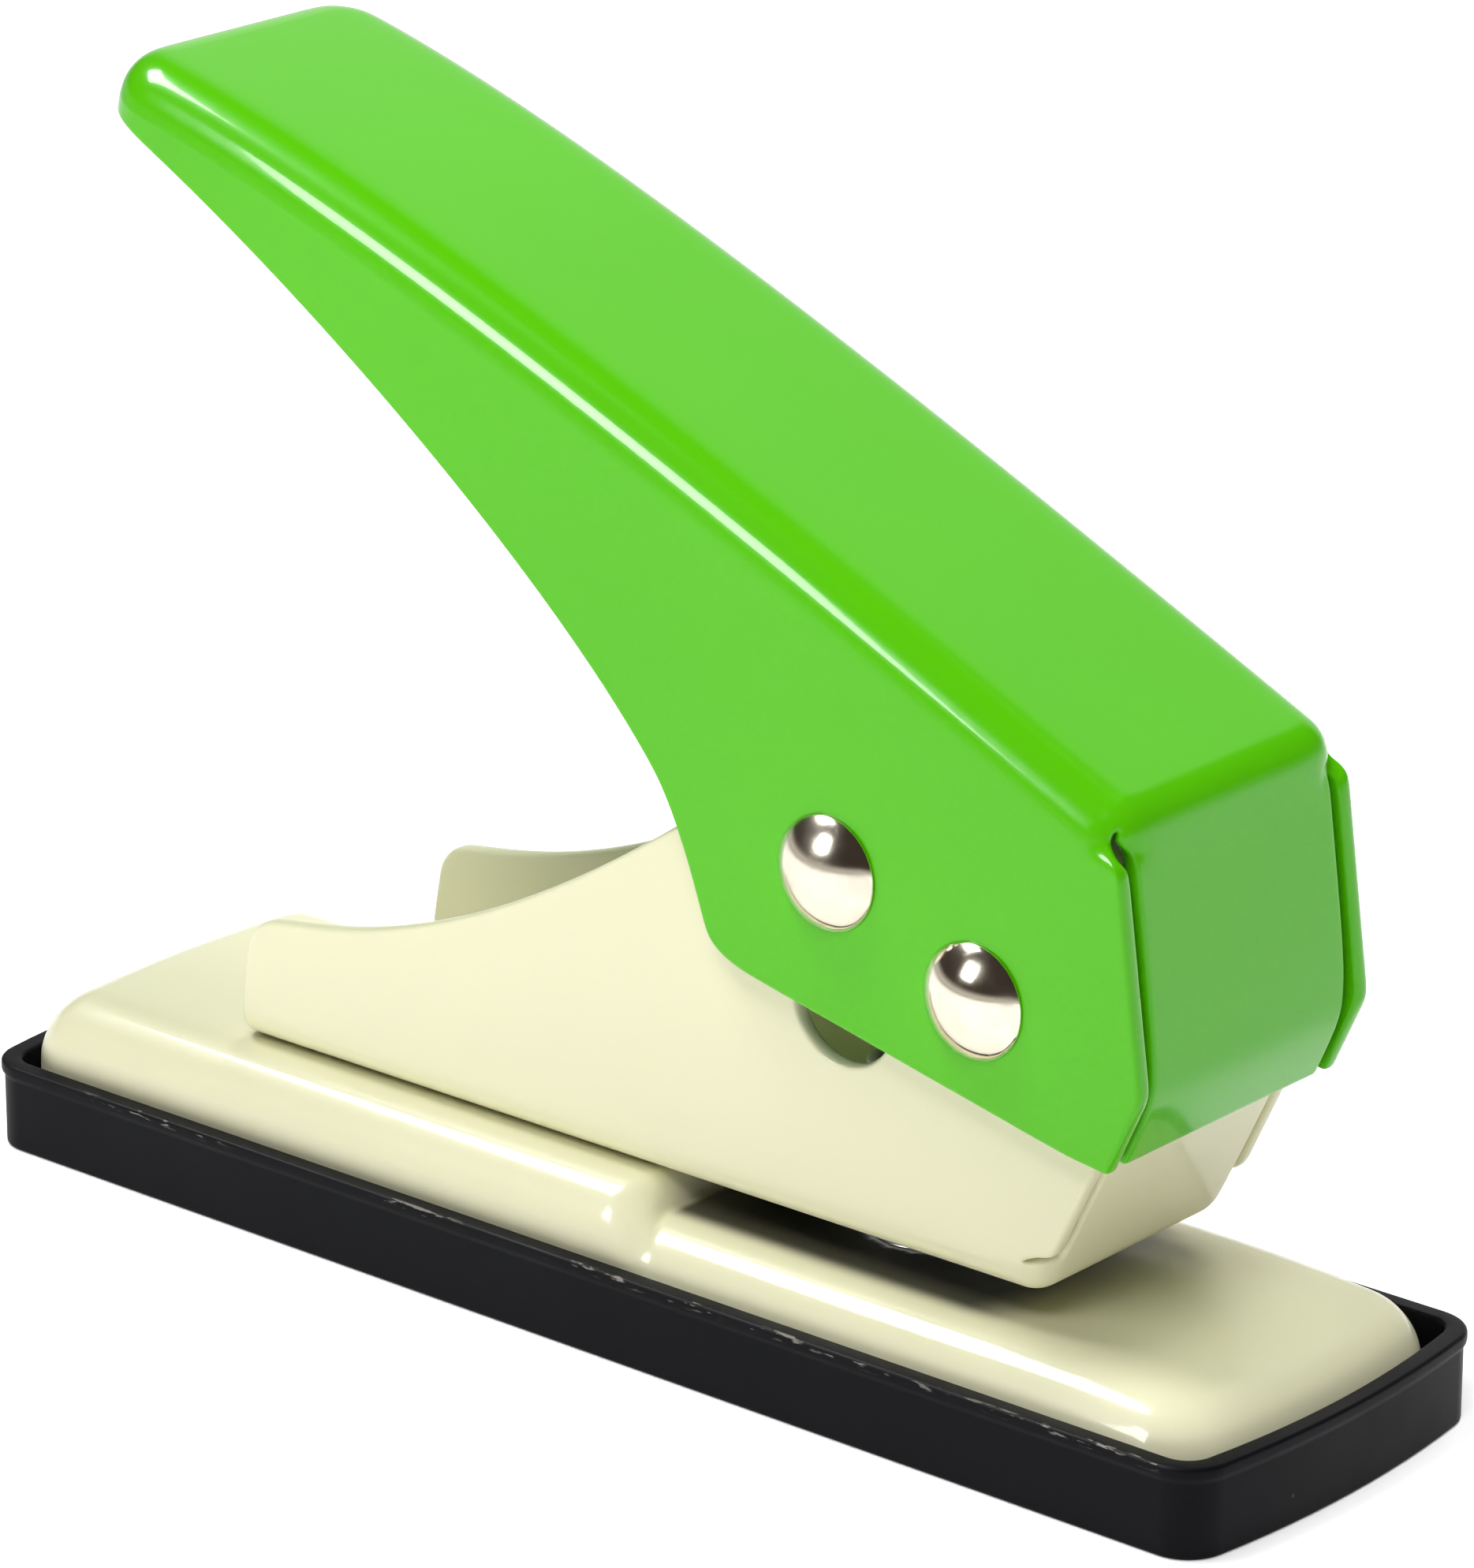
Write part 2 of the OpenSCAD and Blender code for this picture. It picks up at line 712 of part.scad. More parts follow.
// Side view of the flap's face, or of a face behind it, from the brow to the toe
function flap_face(back) =
    let (
        down = unit(toe - kink),
        off_up = [front_up.y, -front_up.x] * back,
        off_down = [-down.y, down.x] * back,
        bend = [kink + bend_above * front_up, kink, kink, kink + bend_below * down],
        mids = [for (i = [0:8]) bezier(bend, i / 8)],
        tilt = [for (i = [0:8]) off_up + (off_down - off_up) * i / 8]
    )
    concat(
        [brow - off_up],
        [for (i = [0:8]) mids[i] - unit(tilt[i]) * back],
        [toe - off_down]);

module lever_block(skin, front, deep) {
    r = lever_bend_r - skin;
    half_w = lever_w / 2 - skin;
    corner_r = nose_r - skin;
    nose = ridge_tail + (nose_r - lever_bend_r) * [cos(tail_slope), -sin(tail_slope)];
    hull() {
        for (side = [-1, 1]) {
            for (t = ridge_shares)
                let (p = bezier(ridge, t))
                translate([p.x, side * (half_w - r), p.y])
                    sphere(r = r, $fn = 32);
            translate([nose.x, side * (half_w - corner_r), nose.y])
                rotate([0, tail_slope, 0]) {
                    rotate_extrude($fn = 32)
                        intersection() {
                            translate([corner_r - r, 0])
                                circle(r = r, $fn = 32);
                            translate([0, -r])
                                square([corner_r, 2 * r]);
                        }
                    mirror([0, 0, 1])
                        cylinder(r = corner_r, h = nose_r + deep, $fn = 32);
                }
        }
        across(half_w)
            polygon(concat(front, [
                front[len(front) - 1] + unit(toe - kink) * deep,
                sole_rear + block_low - [0, deep]]));
    }
}

module lever_side() {
    high = tail_low.y + 2 * nose_r;
    polygon(concat(
        curve(belly), curve(shin, 6), curve(heel_bend, 6),
        [sole_front, toe, kink + [past, 0], [kink.x + past, high],
         [tail_low.x - nose_r, high], tail_low - [nose_r, -past]]));
}

// Side view of what lies ahead of a face of the flap
function ahead_of(face) =
    concat(face, [toe + [2, -2] * past, kink + [2, 0] * past, brow + [2, 0] * past]);

module lever() {
    flap_inner = [for (i = [1:10]) flap_face(flap_recess + lever_t)[i]];
    color(green)
        translate([pivot.x, 0, pivot.y])
            difference() {
                intersection() {
                    lever_block(0, [cheek, kink, toe], 0);
                    across(lever_w)
                        lever_side();
                }
                lever_block(lever_t, flap_inner, hollow_deep);
                // The flap lies a little behind the sides' front edges
                across(lever_in)
                    polygon(ahead_of(flap_face(flap_recess)));
                for (side = [-1, 1])
                    translate([0, side * (lever_in - flap_slit / 2), 0])
                        across(flap_slit / 2)
                            polygon(ahead_of(flap_face(flap_recess + lever_t + past)));
                for (at = [[0, 0], [-drive_back, drive_up]])
                    bar_y(at, shank_d + 2 * press_gap, 2 * lever_w);
            }
}

// Rivets and sleeves

module domed_rivet(at) {
    color(nickel) {
        bar_y(at, shank_d, lever_w);
        for (side = [-1, 1])
            translate([at.x, side * lever_w / 2, at.y])
                rotate([-side * 90, 0, 0])
                    dome(head_d, head_h);
    }
}

module pivot_rivet() {
    domed_rivet(pivot);
}

module drive_rivet() {
    domed_rivet(drive);
}

module drive_sleeve() {
    color(steel)
        ring_y(drive, 0, sleeve_d, shank_d + 2 * press_gap, 2 * (frame_in - slot_gap));
}

module pivot_spacer() {
    color(steel)
        ring_y(pivot, 0, spacer_d, shank_d + 2 * run_gap, 2 * (frame_in - press_gap));
}

chip_tray();
base();
die_bush();
frame();
frame_rivet_front();
frame_rivet_rear();
punch_guide();
punch_pin();
retaining_ring();
return_spring();
lever();
pivot_rivet();
pivot_spacer();
drive_rivet();
drive_sleeve();
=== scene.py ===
"""Looks of a mini hole punch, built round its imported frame."""

import math

import bmesh
import bpy
from mathutils import Matrix, Vector


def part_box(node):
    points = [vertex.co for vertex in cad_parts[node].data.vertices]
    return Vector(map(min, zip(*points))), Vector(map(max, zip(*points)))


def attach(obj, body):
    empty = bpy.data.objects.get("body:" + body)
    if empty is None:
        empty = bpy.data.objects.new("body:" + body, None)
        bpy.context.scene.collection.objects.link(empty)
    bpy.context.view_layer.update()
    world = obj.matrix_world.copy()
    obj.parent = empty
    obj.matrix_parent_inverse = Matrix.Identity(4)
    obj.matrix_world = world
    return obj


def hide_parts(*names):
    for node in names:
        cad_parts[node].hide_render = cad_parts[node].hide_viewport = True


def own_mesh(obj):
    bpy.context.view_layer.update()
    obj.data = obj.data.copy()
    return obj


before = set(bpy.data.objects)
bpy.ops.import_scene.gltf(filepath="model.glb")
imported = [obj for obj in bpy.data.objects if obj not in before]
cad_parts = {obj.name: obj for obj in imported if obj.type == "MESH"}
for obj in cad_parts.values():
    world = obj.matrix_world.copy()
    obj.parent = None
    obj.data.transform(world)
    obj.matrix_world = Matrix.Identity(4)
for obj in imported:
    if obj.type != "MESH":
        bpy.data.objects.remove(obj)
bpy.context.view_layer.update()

bl_info = {
    "name": "Mini hole punch",
    "version": (1, 0, 0),
    "blender": (4, 5, 0),
    "location": "View3D > Sidebar > Hole punch",
    "description": "Builds a one-hole paper punch with a sheet lever and a chip tray",
    "category": "Object",
}

MM = 0.001
Y = Vector((0, 1, 0))
Z = Vector((0, 0, 1))


def flat(x, z):
    """A point or direction in the plane that the lever swings in."""
    return Vector((x, 0, z))


def slope(degrees):
    """Direction forward and down, and the direction square to it and up."""
    a = math.radians(degrees)
    return flat(math.cos(a), -math.sin(a)), flat(math.sin(a), math.cos(a))


class Box:
    """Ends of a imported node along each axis, in millimetres to a thousandth."""

    def __init__(self, node):
        ends = [[round(v / MM, 3) for v in corner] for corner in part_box(node)]
        self.x, self.y, self.z = zip(*ends)

    def middle(self):
        return flat(sum(self.x) / 2, sum(self.z) / 2)


# Where the mechanism's pieces are, and their sizes, in millimetres

TRAY_BOX = Box("chip_tray")
TRAY_L, TRAY_W, TRAY_H = 2 * TRAY_BOX.x[1], 2 * TRAY_BOX.y[1], TRAY_BOX.z[1]
PLATFORM_Z = Box("frame").z[0]
FRONT_Z = Box("die_bush").z[1]
BASE_T = 1.0
FRAME_HALF_W = Box("frame").y[1]
SHEET_T = 1.2
LEVER_HALF_W = Box("lever").y[1]
PIVOT_BOX = Box("pivot_rivet")
PIVOT = PIVOT_BOX.middle()
DRIVE = Box("drive_rivet").middle()
DRIVE_DROP = 8.31
SHANK_R = 2.5
HEAD_D, HEAD_H = PIVOT_BOX.x[1] - PIVOT_BOX.x[0], PIVOT_BOX.y[1] - LEVER_HALF_W
FRAME_RIVET_D, FRAME_HEAD_D, FRAME_HEAD_H = 3.5, 6.4, 1.4
FRAME_RIVETS = {name: Box(name).x[1] - FRAME_HEAD_D / 2
                for name in ("frame_rivet_front", "frame_rivet_rear")}
PUNCH_X = sum(Box("punch_pin").x) / 2
PUNCH_R = 3.0
PUNCH_TIP_Z, PUNCH_TOP_Z = Box("punch_pin").z
RING_Z = Box("retaining_ring").z[0]
RING_T = 0.8
GROOVE_R = 2.4
GUIDE_TOP_Z = Box("punch_guide").z[1]
GUIDE_D, FLANGE_D = 9.0, 12.0
DIE_D, DIE_H, DIE_FLANGE_T = 8.4, 2.4, 0.8
SLEEVE_D, SLEEVE_GAP, SPACER_D = 7.6, 0.3, 8.0
RUN_GAP, PRESS_GAP = 0.05, 0.02
WELD = 0.002


def length_prop(name, description, default, least, most):
    """Property for a length in millimetres."""
    return bpy.props.FloatProperty(
        name=name, description=description, default=default * MM, min=least * MM, max=most * MM,
        unit="LENGTH")


def colour_prop(name, description, default):
    """Property for a colour."""
    return bpy.props.FloatVectorProperty(
        name=name, description=description, default=default, min=0, max=1, subtype="COLOR")


class PunchSizes(bpy.types.PropertyGroup):
    """Sizes that a user may change without moving the mechanism."""

    lever_bend: length_prop(
        "Lever bend", "Outer radius of the bends along the lever's top", 3.2, 2, 4)
    sheet_edge: length_prop(
        "Sheet edge", "Width of the rounding along the edges of the sheet pieces", 0.45, 0.2, 0.6)
    rivet_head: length_prop("Rivet head", "Diameter of the domed rivet heads", HEAD_D, 6.6, 9)
    rivet_rise: length_prop("Rivet rise", "Height of the domed rivet heads", HEAD_H, 1, 2.4)
    wire: length_prop("Spring wire", "Diameter of the return spring's wire", 0.9, 0.6, 1)


class PunchColours(bpy.types.PropertyGroup):
    """Colours of the finishes, by slot, and of the floor."""

    lever_paint: colour_prop("Lever paint", "Lime enamel on the lever", (0.086, 0.485, 0.002))
    frame_paint: colour_prop(
        "Frame paint", "Cream enamel on the frame and the base", (0.77, 0.75, 0.515))
    tray_plastic: colour_prop(
        "Tray plastic", "Black moulded plastic of the chip tray", (0.004, 0.004, 0.006))
    rivet_nickel: colour_prop("Rivet nickel", "Bright nickel on the rivets", (0.86, 0.79, 0.65))
    tool_steel: colour_prop(
        "Tool steel", "Ground steel of the punch, die, spring and sleeves", (0.42, 0.42, 0.43))
    floor: colour_prop("Floor", "Pale floor under the punch", (0.9, 0.9, 0.9))


# Curves

def mix(a, b, t):
    return a + (b - a) * t


def ease(t):
    t = min(max(t, 0.0), 1.0)
    return t * t * (3 - 2 * t)


def bezier(p, t):
    s = 1 - t
    return p[0] * s ** 3 + p[1] * (3 * s * s * t) + p[2] * (3 * s * t * t) + p[3] * t ** 3


def turn_between(a, b, t):
    """Unit direction that turns from a to b."""
    angle = a.angle(b)
    return (a * math.sin((1 - t) * angle) + b * math.sin(t * angle)) / math.sin(angle)


def steps(n):
    return [i / n for i in range(n + 1)]


def arc(centre, r, start, end, n):
    """Points of an arc in the swing plane, by angles in degrees."""
    angles = [math.radians(mix(start, end, t)) for t in steps(n)]
    return [centre + flat(math.cos(a), math.sin(a)) * r for a in angles]


# Meshes

def formed_sheet(bm, columns):
    """Presses a flat grid into a sheet whose columns of points are given."""
    nu, nv = len(columns) - 1, len(columns[0]) - 1
    grid = bmesh.ops.create_grid(bm, x_segments=nu, y_segments=nv, size=1)
    for v in grid["verts"]:
        i, j = round((v.co.x + 1) / 2 * nu), round((v.co.y + 1) / 2 * nv)
        v.co = columns[i][j]


def inside(points, distance, normal):
    """A closed loop moved sideways, to the left as seen against the normal."""
    moved = []
    for i, p in enumerate(points):
        before = (p - points[i - 1]).normalized()
        after = (points[(i + 1) % len(points)] - p).normalized()
        left = normal.cross(before + after).normalized()
        moved.append(p + left * (distance / max(left.dot(normal.cross(before)), 0.5)))
    return moved


def flat_plate(bm, loops, normal, band=0.0):
    """Fills between closed loops in one plane, with two bands of even width along them.

    The outer loop runs anticlockwise as seen against the normal, the holes clockwise.
    """
    edges = []
    for points in loops:
        rings = [points]
        if band:
            rings += [inside(points, band * k, normal) for k in (1, 2)]
            formed_sheet(bm, [list(row) for row in zip(*(ring + ring[:1] for ring in rings))])
        verts = [bm.verts.new(p) for p in rings[-1]]
        edges += [bm.edges.new((verts[i - 1], verts[i])) for i in range(len(verts))]
    bmesh.ops.triangle_fill(bm, use_beauty=True, edges=edges, normal=normal)


def half_hole(x, z, r, n):
    """Half of a hole's edge in a level sheet, from its front round to its rear."""
    angles = [math.pi * t for t in steps(n)]
    points = [Vector((x + r * math.cos(a), r * math.sin(a), z)) for a in angles]
    points[-1].y = 0
    return points


def weld(bm):
    bmesh.ops.remove_doubles(bm, verts=bm.verts[:], dist=WELD)
    bmesh.ops.dissolve_degenerate(bm, dist=WELD / 2, edges=bm.edges[:])


def both_sides(bm, point, direction):
    """Adds the mirrored half; the face nearest to a point then looks in a direction."""
    weld(bm)
    bmesh.ops.mirror(bm, geom=bm.verts[:] + bm.edges[:] + bm.faces[:], axis="Y", merge_dist=WELD)
    weld(bm)
    bmesh.ops.recalc_face_normals(bm, faces=bm.faces[:])
    near = min(bm.faces, key=lambda f: (f.calc_center_median() - point).length)
    near.normal_update()
    if near.normal.dot(direction) < 0:
        bmesh.ops.reverse_faces(bm, faces=bm.faces[:])


def mesh_object(name, bm, material):
    """Makes a finished bmesh an object of the scene."""
    mesh = bpy.data.meshes.new(name)
    bm.to_mesh(mesh)
    bm.free()
    mesh.materials.append(material)
    obj = bpy.data.objects.new(name, mesh)
    bpy.context.scene.collection.objects.link(obj)
    return obj


def piece(name, bm, body, node, slot):
    """Makes a piece of a bmesh in millimetres, and tells the frame what it is."""
    bmesh.ops.scale(bm, vec=(MM, MM, MM), verts=bm.verts[:])
    obj = mesh_object(name, bm, finish_of(slot))
    obj.data.shade_smooth()
    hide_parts(node)
    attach(obj, body)
    return obj


def sheet_metal(obj, thickness, levels):
    """Gives a formed sheet its thickness inwards, and rounds it within its border bands."""
    thick = obj.modifiers.new("Thickness", "SOLIDIFY")
    thick.thickness = thickness * MM
    thick.offset = -1
    thick.use_even_offset = True
    smooth = obj.modifiers.new("Tumbled edges", "SUBSURF")
    smooth.levels = smooth.render_levels = levels


def soft_edges(obj, width, angle):
    soft = obj.modifiers.new("Soft edges", "BEVEL")
    soft.limit_method = "ANGLE"
    soft.angle_limit = math.radians(angle)
    soft.width = width * MM
    soft.segments = 2
    shade_flat(obj)


def shade_flat(obj):
    shade = obj.modifiers.new("Flat faces shade flat", "WEIGHTED_NORMAL")
    shade.keep_sharp = True


def turned(profile, centre, axis, steps_round=48):
    """Spins a profile of [radius, height] points about an axis through a point."""
    bm = bmesh.new()
    verts = [bm.verts.new(centre + flat(r, 0) + axis * h) for r, h in profile]
    edges = [bm.edges.new(pair) for pair in zip(verts, verts[1:])]
    bmesh.ops.spin(
        bm, geom=verts + edges, cent=centre, axis=axis, angle=math.tau, steps=steps_round,
        use_merge=True)
    bmesh.ops.remove_doubles(bm, verts=bm.verts[:], dist=WELD / 4)
    bmesh.ops.recalc_face_normals(bm, faces=bm.faces[:])
    return bm


# Node groups and materials

class Nodes:
    """Short way to add nodes to a tree and join them."""

    def __init__(self, tree):
        self.tree = tree

    def join(self, a, b):
        self.tree.links.new(a, b)

    def add(self, kind, values=(), **settings):
        node = self.tree.nodes.new(kind)
        for key, value in settings.items():
            setattr(node, key, value)
        for key, value in dict(values).items():
            if isinstance(value, bpy.types.NodeSocket):
                self.join(value, node.inputs[key])
            else:
                node.inputs[key].default_value = value
        return node

    def maths(self, operation, a, b=0.0):
        return self.add("ShaderNodeMath", {0: a, 1: b}, operation=operation).outputs[0]

    def times(self, a, b):
        return self.maths("MULTIPLY", a, b)

    def plus(self, a, b):
        return self.maths("ADD", a, b)

    def band(self, value, low, high, to_low=0.0, to_high=1.0):
        """Goes smoothly from one number to another while a value goes from low to high."""
        node = self.add("ShaderNodeMapRange", {
            "Value": value, "From Min": low, "From Max": high,
            "To Min": to_low, "To Max": to_high}, interpolation_type="SMOOTHSTEP")
        return node.outputs["Result"]

    def noise(self, at, scale, detail):
        node = self.add("ShaderNodeTexNoise", {"Vector": at, "Scale": scale, "Detail": detail})
        return node.outputs["Fac"]

    def spots(self, at, scale, size, share):
        """Mask of round spots in a share of the cells, with soft limits for both."""
        cells = self.add("ShaderNodeTexVoronoi", {"Vector": at, "Scale": scale}).outputs
        dot = self.band(cells["Distance"], *size, 1.0, 0.0)
        chance = self.add("ShaderNodeSeparateColor", {"Color": cells["Color"]}).outputs["Red"]
        return self.times(dot, self.band(chance, *share))

    def blend(self, factor, a, b):
        return self.add("ShaderNodeMix", {0: factor, 6: a, 7: b}, data_type="RGBA").outputs[2]

    def place(self):
        return self.add("ShaderNodeTexCoord").outputs["Object"]

    def xyz(self, vector):
        return self.add("ShaderNodeSeparateXYZ", {"Vector": vector}).outputs


def surface_group(name, inputs):
    """Starts a node group that puts out the colour, roughness and height of a surface."""
    group = bpy.data.node_groups.new(name, "ShaderNodeTree")
    for label, value in inputs.items():
        kind = "NodeSocketColor" if isinstance(value, tuple) else "NodeSocketFloat"
        socket = group.interface.new_socket(label, in_out="INPUT", socket_type=kind)
        socket.default_value = value
    for label, kind in (("Colour", "Color"), ("Roughness", "Float"), ("Height", "Float")):
        group.interface.new_socket(label, in_out="OUTPUT", socket_type="NodeSocket" + kind)
    n = Nodes(group)
    return group, n, n.add("NodeGroupInput").outputs, n.place()


def paint_film_group(name):
    """Enamel: faint mottling, rare specks of dust and the ripple of a sprayed film."""
    group, n, into, at = surface_group(name, {
        "Paint": (1, 1, 1, 1), "Speck": (0, 0, 0, 1), "Mottle": 0.05, "Ripple size": 900.0,
        "Least roughness": 0.2})
    tone = n.band(n.noise(at, 30.0, 1.0), 0.2, 0.8, -1.0, 1.0)
    mottled = n.add("ShaderNodeHueSaturation", {
        "Color": into["Paint"], "Value": n.plus(n.times(tone, into["Mottle"]), 1.0)})
    speck = n.spots(at, 85.0, (0.018, 0.03), (0.9, 0.92))
    smear = n.band(n.noise(at, 60.0, 1.5), 0.2, 0.8, 0.0, 0.05)
    n.add("NodeGroupOutput", {
        "Colour": n.blend(speck, mottled.outputs["Color"], into["Speck"]),
        "Roughness": n.plus(smear, into["Least roughness"]),
        "Height": n.noise(at, into["Ripple size"], 1.0)})
    return group


def fine_scratch_group(name):
    """Metal: fine scratches in all directions, and dull patches from handling."""
    group, n, into, at = surface_group(name, {
        "Metal": (1, 1, 1, 1), "Least roughness": 0.1, "Scratch size": 700.0})
    warped = n.add("ShaderNodeTexNoise", {
        "Vector": at, "Scale": into["Scratch size"], "Detail": 4.0, "Distortion": 3.0})
    scratch = n.band(warped.outputs["Fac"], 0.6, 0.75)
    dull = n.band(n.noise(at, 260.0, 3.0), 0.4, 0.75, 0.0, 0.12)
    darker = n.add("ShaderNodeHueSaturation", {
        "Color": into["Metal"], "Value": n.band(dull, 0.0, 0.12, 1.0, 0.86)})
    rough = n.plus(n.plus(into["Least roughness"], dull), n.times(scratch, 0.06))
    n.add("NodeGroupOutput", {
        "Colour": darker.outputs["Color"], "Roughness": rough, "Height": scratch})
    return group


def scuff_group(name):
    """Plastic: wear in short dashes along the rim of the long walls, and scattered nicks."""
    group, n, into, at = surface_group(name, {
        "Plastic": (0, 0, 0, 1), "Scuff": (1, 1, 1, 1), "Rim height": 0.006, "Half width": 0.015})
    _, y, z = n.xyz(at)
    below = n.maths("SUBTRACT", into["Rim height"], z)
    within = n.maths("SUBTRACT", into["Half width"], n.maths("ABSOLUTE", y))
    on_rim = n.times(n.band(below, 0.2 * MM, 0.6 * MM, 1.0, 0.0),
                     n.band(within, 0.15 * MM, 0.3 * MM, 1.0, 0.0))
    stretched = n.add("ShaderNodeMapping", {"Vector": at, "Scale": (0.3, 1.0, 2.0)}).outputs[0]
    dashes = n.band(n.noise(stretched, 2000.0, 3.0), 0.57, 0.63)
    worn = n.times(dashes, n.band(n.noise(at, 60.0, 1.0), 0.42, 0.6))
    nicks = n.spots(at, 170.0, (0.035, 0.06), (0.86, 0.9))
    marks = n.plus(n.times(worn, on_rim), nicks)
    n.add("NodeGroupOutput", {
        "Colour": n.blend(marks, into["Plastic"], into["Scuff"]),
        "Roughness": n.band(n.noise(at, 90.0, 3.0), 0.3, 0.7, 0.4, 0.5),
        "Height": n.noise(at, 2600.0, 2.0)})
    return group


GROUPS = {
    "Paint film": paint_film_group,
    "Fine scratches": fine_scratch_group,
    "Rim scuffs": scuff_group,
}


def new_material(name, sockets):
    """A material with plain values for sockets of its shader."""
    made = bpy.data.materials.new(name)
    made.use_nodes = True
    shader = made.node_tree.nodes["Principled BSDF"]
    for label, value in sockets.items():
        shader.inputs[label].default_value = value
    return made, Nodes(made.node_tree), shader


def surfaced(name, group, values, strength, depth, sockets):
    """Material that takes its colour, roughness and bumps from a node group."""
    made, n, shader = new_material(name, sockets)
    tree = bpy.data.node_groups.get(group) or GROUPS[group](group)
    surface = n.add("ShaderNodeGroup", values, node_tree=tree).outputs
    bumps = n.add("ShaderNodeBump", {
        "Height": surface["Height"], "Strength": strength, "Distance": depth})
    n.join(surface["Colour"], shader.inputs["Base Color"])
    n.join(surface["Roughness"], shader.inputs["Roughness"])
    n.join(bumps.outputs["Normal"], shader.inputs["Normal"])
    return made


def enamel(name, colour, speck, roughness, mottle, ripple):
    values = {"Paint": (*colour, 1), "Speck": speck, "Mottle": mottle, "Ripple size": ripple,
              "Least roughness": roughness}
    return surfaced(name, "Paint film", values, 0.1, 0.1 * MM, {
        "Specular IOR Level": 0.15, "Coat Weight": 0.28, "Coat Roughness": 0.06})


def enamel_with_painted_shade(*values):
    """Enamel with painted shade: darkened round the die in the throat under the frame's web, where
    shadow falls.
    """
    made = enamel(*values)
    n, shader = Nodes(made.node_tree), made.node_tree.nodes["Principled BSDF"]
    paint = shader.inputs["Base Color"].links[0].from_socket
    # Painted shade: a mask over the base's front platform under the frame's web, where the throat
    # lies in shadow
    x, y, z = n.xyz(n.place())
    from_stop = n.band(x, 5.2 * MM, 6.2 * MM)
    to_front = n.band(x, 29.0 * MM, 34.0 * MM, 1.0, 0.0)
    across = n.band(n.maths("ABSOLUTE", y), 8.3 * MM, 10.2 * MM, 0.9, 0.0)
    under_web = n.band(z, (PLATFORM_Z + 0.05) * MM, (PLATFORM_Z + 0.2) * MM, 1.0, 0.0)
    painted_throat_shade = n.times(n.times(n.times(from_stop, to_front), across), under_web)
    # Near-black colour of the painted shade in the throat
    n.join(n.blend(painted_throat_shade, paint, (0.04, 0.036, 0.026, 1)), shader.inputs["Base Color"])
    return made


def bare_metal(name, colour, roughness, scratch, strength):
    values = {"Metal": (*colour, 1), "Least roughness": roughness, "Scratch size": scratch}
    return surfaced(name, "Fine scratches", values, strength, 0.02 * MM, {"Metallic": 1.0})


def moulded_plastic(name, colour):
    values = {"Plastic": (*colour, 1), "Scuff": (0.24, 0.22, 0.2, 1),
              "Rim height": TRAY_H * MM, "Half width": TRAY_W / 2 * MM}
    return surfaced(name, "Rim scuffs", values, 0.08, 0.05 * MM, {"Specular IOR Level": 0.08})


FINISHES = {
    "lever_paint": ("Lime enamel", enamel, (0.10, 0.16, 0.02, 1), 0.2, 0.03, 700.0),
    "frame_paint": ("Cream enamel", enamel_with_painted_shade, (0.25, 0.22, 0.16, 1), 0.3, 0.025, 1100.0),
    "tray_plastic": ("Black plastic", moulded_plastic),
    "rivet_nickel": ("Bright nickel", bare_metal, 0.09, 500.0, 0.05),
    "tool_steel": ("Ground steel", bare_metal, 0.29, 900.0, 0.2),
}


def finish_of(slot):
    """The material of a slot, made when it is first asked for."""
    name, make, *values = FINISHES[slot]
    paint = getattr(bpy.context.scene.punch_colours, slot)
    return bpy.data.materials.get(name) or make(name, paint, *values)


# Outlines shared by the tray and the base

def bowed_half(length, width, r, bow, stations=()):
    """Half of a bowed rectangle, from the middle of its rear end round to its front end."""
    b = width / 2
    bow_r = (b * b + bow * bow) / (2 * bow)
    meet = math.asin((b - r) / (bow_r - r))
    corner = Vector((length / 2 - bow_r + (bow_r - r) * math.cos(meet), b - r, 0))
    front = []
    for t in steps(10):
        a = mix(math.pi / 2, meet, t)
        front.append(corner + Vector((math.cos(a), math.sin(a), 0)) * r)
    for t in steps(6)[1:]:
        a = mix(meet, 0, t)
        front.append(Vector((length / 2 - bow_r + bow_r * math.cos(a), bow_r * math.sin(a), 0)))
    rear = [Vector((-p.x, p.y, 0)) for p in reversed(front)]
    return rear + [Vector((x, b, 0)) for x in stations] + front


